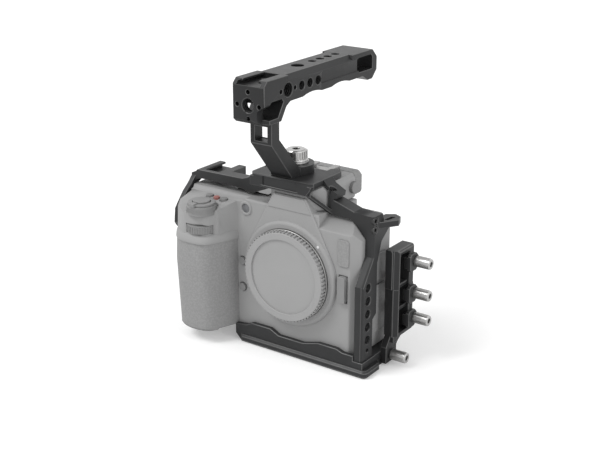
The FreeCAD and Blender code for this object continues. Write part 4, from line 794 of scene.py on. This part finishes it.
class RIG_OT_cage(bpy.types.Operator):
    """Finish the plates, arms and shoulder of the cage"""

    bl_idname = "rig.cage"
    bl_label = "Cage"

    def execute(self, context):
        width = context.scene.rig_look.edge_width
        for node in ("cage_base_plate", "cage_side_arm", "cage_shoulder", "cage_top_plate", "cage_grip_arm"):
            refine(node, width, "cage_metal", "edge_metal")
        for node in ("camera_screw", "shoe_stop", "handle_pins"):
            refine(node, width * 0.4, "black_steel")
        refine("base_pads", width * 0.5, "pad_rubber")
        self.screws()
        return {"FINISHED"}

    def screws(self):
        """The cage's own cap screws, each with a hex socket in its head."""
        head, socket, shank_top = 1.65 * MM, 1.1 * MM, 1.5 * MM
        mesh = bmesh.new()
        for low, high in islands("cage_screws"):
            size = high - low
            axis = max(range(3), key=lambda i: size[i])
            from_below = axis == 2 and low.z < 5 * MM
            outward = Vector((0, 0, 0))
            outward[axis] = -1 if from_below else 1
            top = (low + high) / 2
            top[axis] = low[axis] if from_below else high[axis]
            radius = min(size) / 2
            place = upright_to(outward, top)
            socket_head(mesh, place, radius, head, radius * 0.95, socket)
            slab(mesh, circle(radius * 0.5, 20), -size[axis], -shank_top, place)
        stand_for(built("cage_screws_finished", mesh, "black_steel"), "cage_screws")


class RIG_OT_handle(bpy.types.Operator):
    """Finish the top handle and its thumb screw"""

    bl_idname = "rig.handle"
    bl_label = "Top handle"

    def execute(self, context):
        width = context.scene.rig_look.edge_width
        refine("handle_frame", width, "handle_metal", "edge_metal")
        refine("handle_screw", width * 0.6, "knob_steel")
        refine("handle_washer", width * 0.6, "knob_steel")
        low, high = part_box("handle_screw")
        below_top, sunk = 3.6 * MM, 1.0 * MM
        centre = middle("handle_screw")
        centre.z = high.z - below_top
        grow("thumb_screw_flutes", ribs_tree, {
            "Count": 24, "Radius": (high.x - low.x) / 2 - sunk, "Bar": (1.3 * MM, 1.1 * MM, 5.0 * MM)},
            "knob_steel", Matrix.Translation(centre), BODY["handle_screw"])
        return {"FINISHED"}


class RIG_OT_threads(bpy.types.Operator):
    """Cut thread crests into every open threaded hole"""

    bl_idname = "rig.threads"
    bl_label = "Threads"

    def execute(self, context):
        lead_in, most = 0.6 * MM, 9
        for name, mount in MOUNTS.items():
            if mount["kind"] != "threaded_hole":
                continue
            radius, length = mount["dims"]["r_mm"] * MM, mount["dims"]["length_mm"] * MM
            pitch = COARSE_PITCH if radius < 4 * MM else STOUT_PITCH
            count = max(3, min(most, int((length - lead_in) / pitch)))
            axis = Vector(mount["axis"])
            start = Vector(mount["pos_m"]) + axis * (length / 2 - lead_in)
            metal = "handle_metal" if name.startswith("handle") else "cage_metal"
            grow(name + "_crests", rings_tree, {
                "Count": count, "Step": (0.0, 0.0, -pitch), "Radius": radius, "Wire": pitch * 0.3},
                metal, upright_to(axis, start))
        return {"FINISHED"}


class RIG_OT_clamp(bpy.types.Operator):
    """Finish the cable clamp and its screws"""

    bl_idname = "rig.clamp"
    bl_label = "Cable clamp"

    def execute(self, context):
        width = context.scene.rig_look.edge_width
        refine("clamp_bracket", width, "clamp_metal", "edge_metal")
        refine("clamp_block", width * 1.6, "clamp_metal", "edge_metal")
        for node in ("clamp_jaw_1", "clamp_jaw_2", "clamp_jaw_3"):
            refine(node, width, "clamp_metal", "edge_metal")
        for node in ("clamp_screw_1", "clamp_screw_2", "clamp_screw_3", "clamp_fixing_screw"):
            self.screw(node)
        refine("clamp_washer", width * 0.5, "black_steel")
        return {"FINISHED"}

    def screw(self, node):
        """A bright clamp screw with a chamfered tip and a straight knurl."""
        low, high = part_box(node)
        centre, radius = middle(node), (high.z - low.z) / 2

        def tip(a, b):
            """The broad chamfer round the screw's outer end."""
            at_end = max(abs(a.x - high.x), abs(b.x - high.x)) < SEAM
            on_rim = (a.yz - centre.yz).length > radius * 0.9
            return 0.7 * MM if at_end and on_rim else None

        refine(node, 0.2 * MM, "screw_steel", segments=3, wider=tip)
        behind_tip = 6.0 * MM
        centre.x = high.x - behind_tip
        grow(node + "_knurl", ribs_tree, {
            "Count": 26, "Radius": radius, "Bar": (0.34 * MM, 0.42 * MM, 9.4 * MM)},
            "screw_steel", upright_to((1, 0, 0), centre), BODY[node])


class RIG_OT_camera_body(bpy.types.Operator):
    """Finish the camera's housing, grip and hump"""

    bl_idname = "rig.camera_body"
    bl_label = "Camera body"

    def execute(self, context):
        self.shell()
        for look, widths in (
                ("camera_shell", {"mount_surround": 0.6, "screen_frame": 0.4, "rear_screen": 0.5,
                                  "card_door": 0.4, "battery_door": 0.4}),
                ("camera_rubber", {"eyecup": 1.2, "front_cover": 0.4, "port_cover_upper": 0.5,
                                   "port_cover_lower": 0.5}),
                ("mount_steel", {"hot_shoe": 0.3, "lens_mount": 0.3}),
                ("display_glass", {"finder_glass": 0.2, "screen_pane": 0.2, "top_display": 0.2})):
            for node, width in widths.items():
                refine(node, width * MM, look)
        self.grip()
        self.brow()
        self.panel()
        self.thumb_rest()
        self.lamp()
        self.index()
        self.cap()
        return {"FINISHED"}

    def shell(self):
        """The housing and the hump, broadly rounded on the grip, the deck's rims and the hump's corners."""
        deck, grip_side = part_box("camera_housing")[1].z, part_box("grip_rubber")[1].x

        def housing(a, b):
            """Full rounding on the grip and the deck's rims."""
            run, mid, length = (b - a).normalized(), (a + b) / 2, (b - a).length
            on_grip = mid.x < grip_side + 0.5 * MM and mid.y < -1.5 * MM
            on_deck = abs(mid.z - deck) < 0.2 * MM and abs(run.z) < 0.2 and length > 5 * MM
            if on_grip:
                return 2.6 * MM if abs(run.z) > 0.7 and length > 4 * MM else 1.4 * MM
            return 1.6 * MM if on_deck else None

        def hump(a, b):
            """Broad rounding on the hump's corners."""
            return 3.0 * MM if abs((b - a).normalized().z) > 0.5 else 2.0 * MM

        refine("camera_housing", 0.7 * MM, "camera_shell", segments=3, wider=housing)
        refine("camera_hump", 1.2 * MM, "camera_shell", segments=4, wider=hump)

    def grip(self):
        """The grip's rounded rubber, its rolled foot and the ledge under the front dial.

        Each profile is a list of heights, with how far the outline stands proud there, in millimetres.
        """
        under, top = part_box("camera_housing")[0].z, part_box("grip_rubber")[1].z
        before_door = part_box("battery_door")[0].y - 2 * MM
        heel, brim, steps = under + 1.5 * MM, top - 3 * MM, 12
        hem = [(0.1, -0.6), (0.6, -0.4), (1.5, -0.3)]
        rings = [grip_ring(under + rise * MM, proud * MM) for rise, proud in hem]
        rings += [grip_ring(heel + (brim - heel) * i / steps, -0.3 * MM) for i in range(1, steps + 1)]
        mesh = bmesh.new()
        skin(mesh, rings)
        stand_for(built("grip_rubber_finished", mesh, "camera_rubber"), "grip_rubber")
        roll = [(-1.75, -3.4), (-1.6, -2.2), (-1.2, -1.3), (-0.6, -0.7), (0.05, -0.4)]
        mesh = bmesh.new()
        skin(mesh, [grip_ring(under + rise * MM, proud * MM, before_door) for rise, proud in roll])
        built("grip_foot", mesh, "camera_rubber")
        ledge = [(-3.2, -0.6), (-2.9, 0.25), (-2.3, 0.7), (-1.2, 0.85), (0.4, 0.6), (1.8, 0.1), (2.9, -0.5),
                 (3.7, -1.25)]
        mesh = bmesh.new()
        skin(mesh, [grip_ring(top + rise * MM, proud * MM) for rise, proud in ledge])
        built("grip_ledge", mesh, "camera_shell")

    def brow(self):
        """The raised face that runs from round the mount up to the hump."""
        low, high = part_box("mount_surround")
        peak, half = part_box("camera_hump")[1].z - 7.5 * MM, 13.4 * MM
        round_mount = circle((high.x - low.x) / 2 + 0.2 * MM, 96, 0.0, middle("lens_mount").z)
        mesh = bmesh.new()
        slab(mesh, hull(round_mount + [(-half, peak), (half, peak)]), -6.0 * MM, 1.3 * MM, FRONT)
        built("mount_brow", mesh, "camera_shell", bevel=0.8 * MM, segments=3)

    def panel(self):
        """The bare panel on the front of the hump."""
        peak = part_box("camera_hump")[1].z
        corners = [(-12.4, -8.2), (12.4, -8.2), (18.0, -18.2), (-18.0, -18.2)]
        mesh = bmesh.new()
        slab(mesh, [(x * MM, peak + drop * MM) for x, drop in corners], 0.6 * MM, 2.0 * MM, FRONT)
        built("hump_panel", mesh, "camera_shell", bevel=0.6 * MM, segments=3)

    def thumb_rest(self):
        """A grained rest for the thumb on the sloping back corner of the grip."""
        slope, height = Vector((12 * MM, 9 * MM, 0.0)), 69 * MM
        corner = Vector((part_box("grip_rubber")[0].x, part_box("camera_housing")[1].y - slope.y, 0.0))
        centre = corner + slope / 2 + Vector((0, 0, height))
        outline = rounded(-5.6 * MM, 5.2 * MM, -24 * MM, 25 * MM, 4.6 * MM)
        mesh = bmesh.new()
        slab(mesh, outline, -0.5 * MM, 1.9 * MM, wall(-slope, centre))
        built("thumb_rest", mesh, "camera_rubber", bevel=1.3 * MM, segments=4)

    def lamp(self):
        """The small lamp beside the hump: a rounded ring and the lens inside it."""
        across, below_hump = -38.0 * MM, 7.0 * MM
        place = upright_to((0, -1, 0), (across, 0.0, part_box("camera_hump")[0].z - below_hump))
        mesh = bmesh.new()
        spun(mesh, [(3.3, -1.0), (3.3, 0.4), (3.8, 1.0), (4.7, 0.9), (5.3, 0.3), (5.4, -1.0)], place)
        built("lamp_ring", mesh, "camera_shell")
        mesh = bmesh.new()
        spun(mesh, [(0.01, -0.9), (0.01, 0.55), (1.6, 0.45), (3.35, 0.0), (3.35, -0.9)], place)
        built("lamp_lens", mesh, "lamp_glass")

    def index(self):
        """The white spot on the mount's surround that a lens is lined up with."""
        low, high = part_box("mount_surround")
        turn, inset = math.radians(46), 2.6 * MM
        reach = (high.x - low.x) / 2 - inset
        spot = (reach * math.cos(turn), low.y, middle("lens_mount").z + reach * math.sin(turn))
        mesh = bmesh.new()
        slab(mesh, circle(0.95 * MM, 20), -0.2 * MM, 0.18 * MM, upright_to((0, -1, 0), spot))
        built("mount_index", mesh, "white_mark", bevel=0.08 * MM)

    def cap(self):
        """The body cap with its ribbed rim."""
        refine("body_cap", 0.4 * MM, "cap_plastic", segments=3)
        low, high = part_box("body_cap")
        centre = (0.0, low.y + 2.3 * MM, middle("lens_mount").z)
        grow("body_cap_ribs", ribs_tree, {
            "Count": 72, "Radius": (high.x - low.x) / 2, "Bar": (1.7 * MM, 1.4 * MM, 3.6 * MM)},
            "cap_plastic", upright_to((0, -1, 0), centre), BODY["body_cap"])


class RIG_OT_controls(bpy.types.Operator):
    """Finish the buttons, dials and switches: every node that no step before has finished"""

    bl_idname = "rig.controls"
    bl_label = "Controls"

    def execute(self, context):
        for node in sorted(set(frame["nodes"]) - DRESSED):
            refine(node, 0.3 * MM, SLOT[node], segments=3)
        for node in ("front_dial", "rear_dial"):
            self.ribs(node, (0, 0, 1), 40, (0.7, 0.95, 4.6))
        self.ribs("diopter_dial", (1, 0, 0), 20, (0.4, 0.5, 2.2))
        self.ribs("shutter_collar", (0, 0, 1), 64, (0.3, 0.5, 3.2))
        self.contacts()
        self.speaker()
        return {"FINISHED"}

    def ribs(self, node, axis, count, bar):
        """Bars round a control's rim; the bar's size is in millimetres."""
        low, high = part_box(node)
        grow(node + "_ribs", ribs_tree, {
            "Count": count, "Radius": max(high - low) / 2, "Bar": tuple(side * MM for side in bar)},
            "camera_controls", upright_to(axis, middle(node)), BODY[node])

    def contacts(self):
        """The contacts in the hot shoe."""
        centre = (0.0, middle("hot_shoe").y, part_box("hot_shoe")[0].z + 0.5 * MM)
        grow("shoe_contacts", dots_tree, {
            "Across": 3, "Up": 2, "Wide": 8 * MM, "High": 4 * MM, "Radius": 0.7 * MM, "Depth": 0.4 * MM},
            "mount_steel", Matrix.Translation(centre))

    def speaker(self):
        """The speaker's holes beside the screen, as dark studs: painted shade where the holes are."""
        across, above_middle = 38.5 * MM, 8 * MM
        centre = (across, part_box("camera_housing")[1].y, middle("rear_screen").z + above_middle)
        grow("speaker_holes", dots_tree, {
            "Across": 4, "Up": 4, "Wide": 6 * MM, "High": 6 * MM, "Radius": 0.5 * MM, "Depth": 0.16 * MM},
            "deep_shadow", upright_to((0, 1, 0), centre))


class RIG_OT_stage(bpy.types.Operator):
    """Set the camera, the lamps and the pale floor"""

    bl_idname = "rig.stage"
    bl_label = "Stage"

    def execute(self, context):
        setup = context.scene.rig_stage
        context.scene.view_settings.view_transform = "Standard"
        self.camera(context, setup)
        self.lamp(context, "key_lamp", setup.key, side=-38, height=52, spread=24)
        self.lamp(context, "fill_lamp", setup.fill, side=82, height=30, spread=30)
        self.world(context, setup)
        self.floor(context, setup)
        return {"FINISHED"}

    def direction(self, side, height):
        """The way from the rig to what stands at an azimuth and a height, in radians."""
        level = math.cos(height)
        return Vector((math.sin(side) * level, -math.cos(side) * level, math.sin(height)))

    def camera(self, context, setup):
        """Place the camera by its direction of view."""
        back = self.direction(setup.azimuth, setup.elevation)
        right = Vector((math.cos(setup.azimuth), math.sin(setup.azimuth), 0.0))
        axes = Matrix((right, back.cross(right), back)).transposed()
        data = bpy.data.cameras.new("camera")
        data.lens, data.sensor_width, data.sensor_fit = setup.lens, 36.0, "HORIZONTAL"
        data.clip_start = 10 * MM
        piece = bpy.data.objects.new("camera", data)
        piece.matrix_world = Matrix.Translation(Vector(setup.camera_place)) @ axes.to_4x4()
        context.scene.collection.objects.link(piece)
        context.scene.camera = piece

    def lamp(self, context, name, strength, side, height, spread):
        """A distant soft lamp from an azimuth and a height, with its own spread, all in degrees."""
        data = bpy.data.lights.new(name, "SUN")
        data.energy, data.angle = strength, math.radians(spread)
        towards = self.direction(math.radians(side), math.radians(height))
        piece = bpy.data.objects.new(name, data)
        piece.rotation_euler = towards.to_track_quat("Z", "Y").to_euler()
        context.scene.collection.objects.link(piece)

    def world(self, context, setup):
        """Soft light all round, and white where the camera or a reflection looks past the floor."""
        world = bpy.data.worlds.new("studio")
        context.scene.world = world
        world.use_nodes = True
        g = Graph(world.node_tree)
        camera, glass, gloss = (g.node("ShaderNodeLightPath", output=ray) for ray in (
            "Is Camera Ray", "Is Transmission Ray", "Is Glossy Ray"))
        soft, white = (g.node("ShaderNodeBackground", {}, {"Color": WHITE, "Strength": light})
                       for light in (setup.sky, 1.0))
        seen = (camera + glass + gloss).clamp()
        shown = g.node("ShaderNodeMixShader", {}, {"Fac": seen, 1: soft, 2: white})
        g.node("ShaderNodeOutputWorld", {}, {"Surface": shown})

    def floor(self, context, setup):
        """A wide pale floor just under the rig, lifted to white for the camera but keeping its shadow."""
        reach, level, glow_strength = 6.0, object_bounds()[0][2] - 0.1 * MM, 0.24
        corners = [(x * reach, y * reach, level) for x, y in ((-1, -1), (1, -1), (1, 1), (-1, 1))]
        data = bpy.data.meshes.new("floor")
        data.from_pydata(corners, [], [(0, 1, 2, 3)])
        f = Finish("floor_paint")
        paper = f.blend(f.noise(9, 2), shade(setup.floor_tone, 0.995), shade(setup.floor_tone))
        matt = f.node("ShaderNodeBsdfDiffuse", {}, {"Color": paper})
        glow = f.node("ShaderNodeEmission", {}, {"Color": WHITE, "Strength": glow_strength})
        lift = f.node("ShaderNodeMixShader", {}, {
            "Fac": f.node("ShaderNodeLightPath", output="Is Camera Ray"), 2: glow})
        data.materials.append(f.end(f.node("ShaderNodeAddShader", {}, {0: matt, 1: lift})))
        piece = bpy.data.objects.new("floor", data)
        context.scene.collection.objects.link(piece)
        piece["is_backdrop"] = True


class RIG_PT_sidebar(bpy.types.Panel):
    """Lists the settings, and the steps in the order in which they run"""

    bl_label = "Camera rig"
    bl_idname = "RIG_PT_sidebar"
    bl_space_type = "VIEW_3D"
    bl_region_type = "UI"
    bl_category = "Camera rig"

    def draw(self, context):
        for settings in (context.scene.rig_look, context.scene.rig_stage):
            box = self.layout.box()
            for name in type(settings).__annotations__:
                box.prop(settings, name)
        for step in STEPS:
            self.layout.operator(step.bl_idname)


STEPS = (RIG_OT_stage, RIG_OT_cage, RIG_OT_handle, RIG_OT_threads, RIG_OT_clamp, RIG_OT_camera_body,
         RIG_OT_controls)
CLASSES = (RigLook, RigStage) + STEPS + (RIG_PT_sidebar,)


def register():
    for made in CLASSES:
        bpy.utils.register_class(made)
    bpy.types.Scene.rig_look = bpy.props.PointerProperty(type=RigLook)
    bpy.types.Scene.rig_stage = bpy.props.PointerProperty(type=RigStage)


def unregister():
    del bpy.types.Scene.rig_stage
    del bpy.types.Scene.rig_look
    for made in reversed(CLASSES):
        bpy.utils.unregister_class(made)


def main():
    """Run every step in order."""
    register()
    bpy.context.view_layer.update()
    for step in STEPS:
        group, name = step.bl_idname.split(".")
        getattr(getattr(bpy.ops, group), name)()


if __name__ == "__main__":
    main()
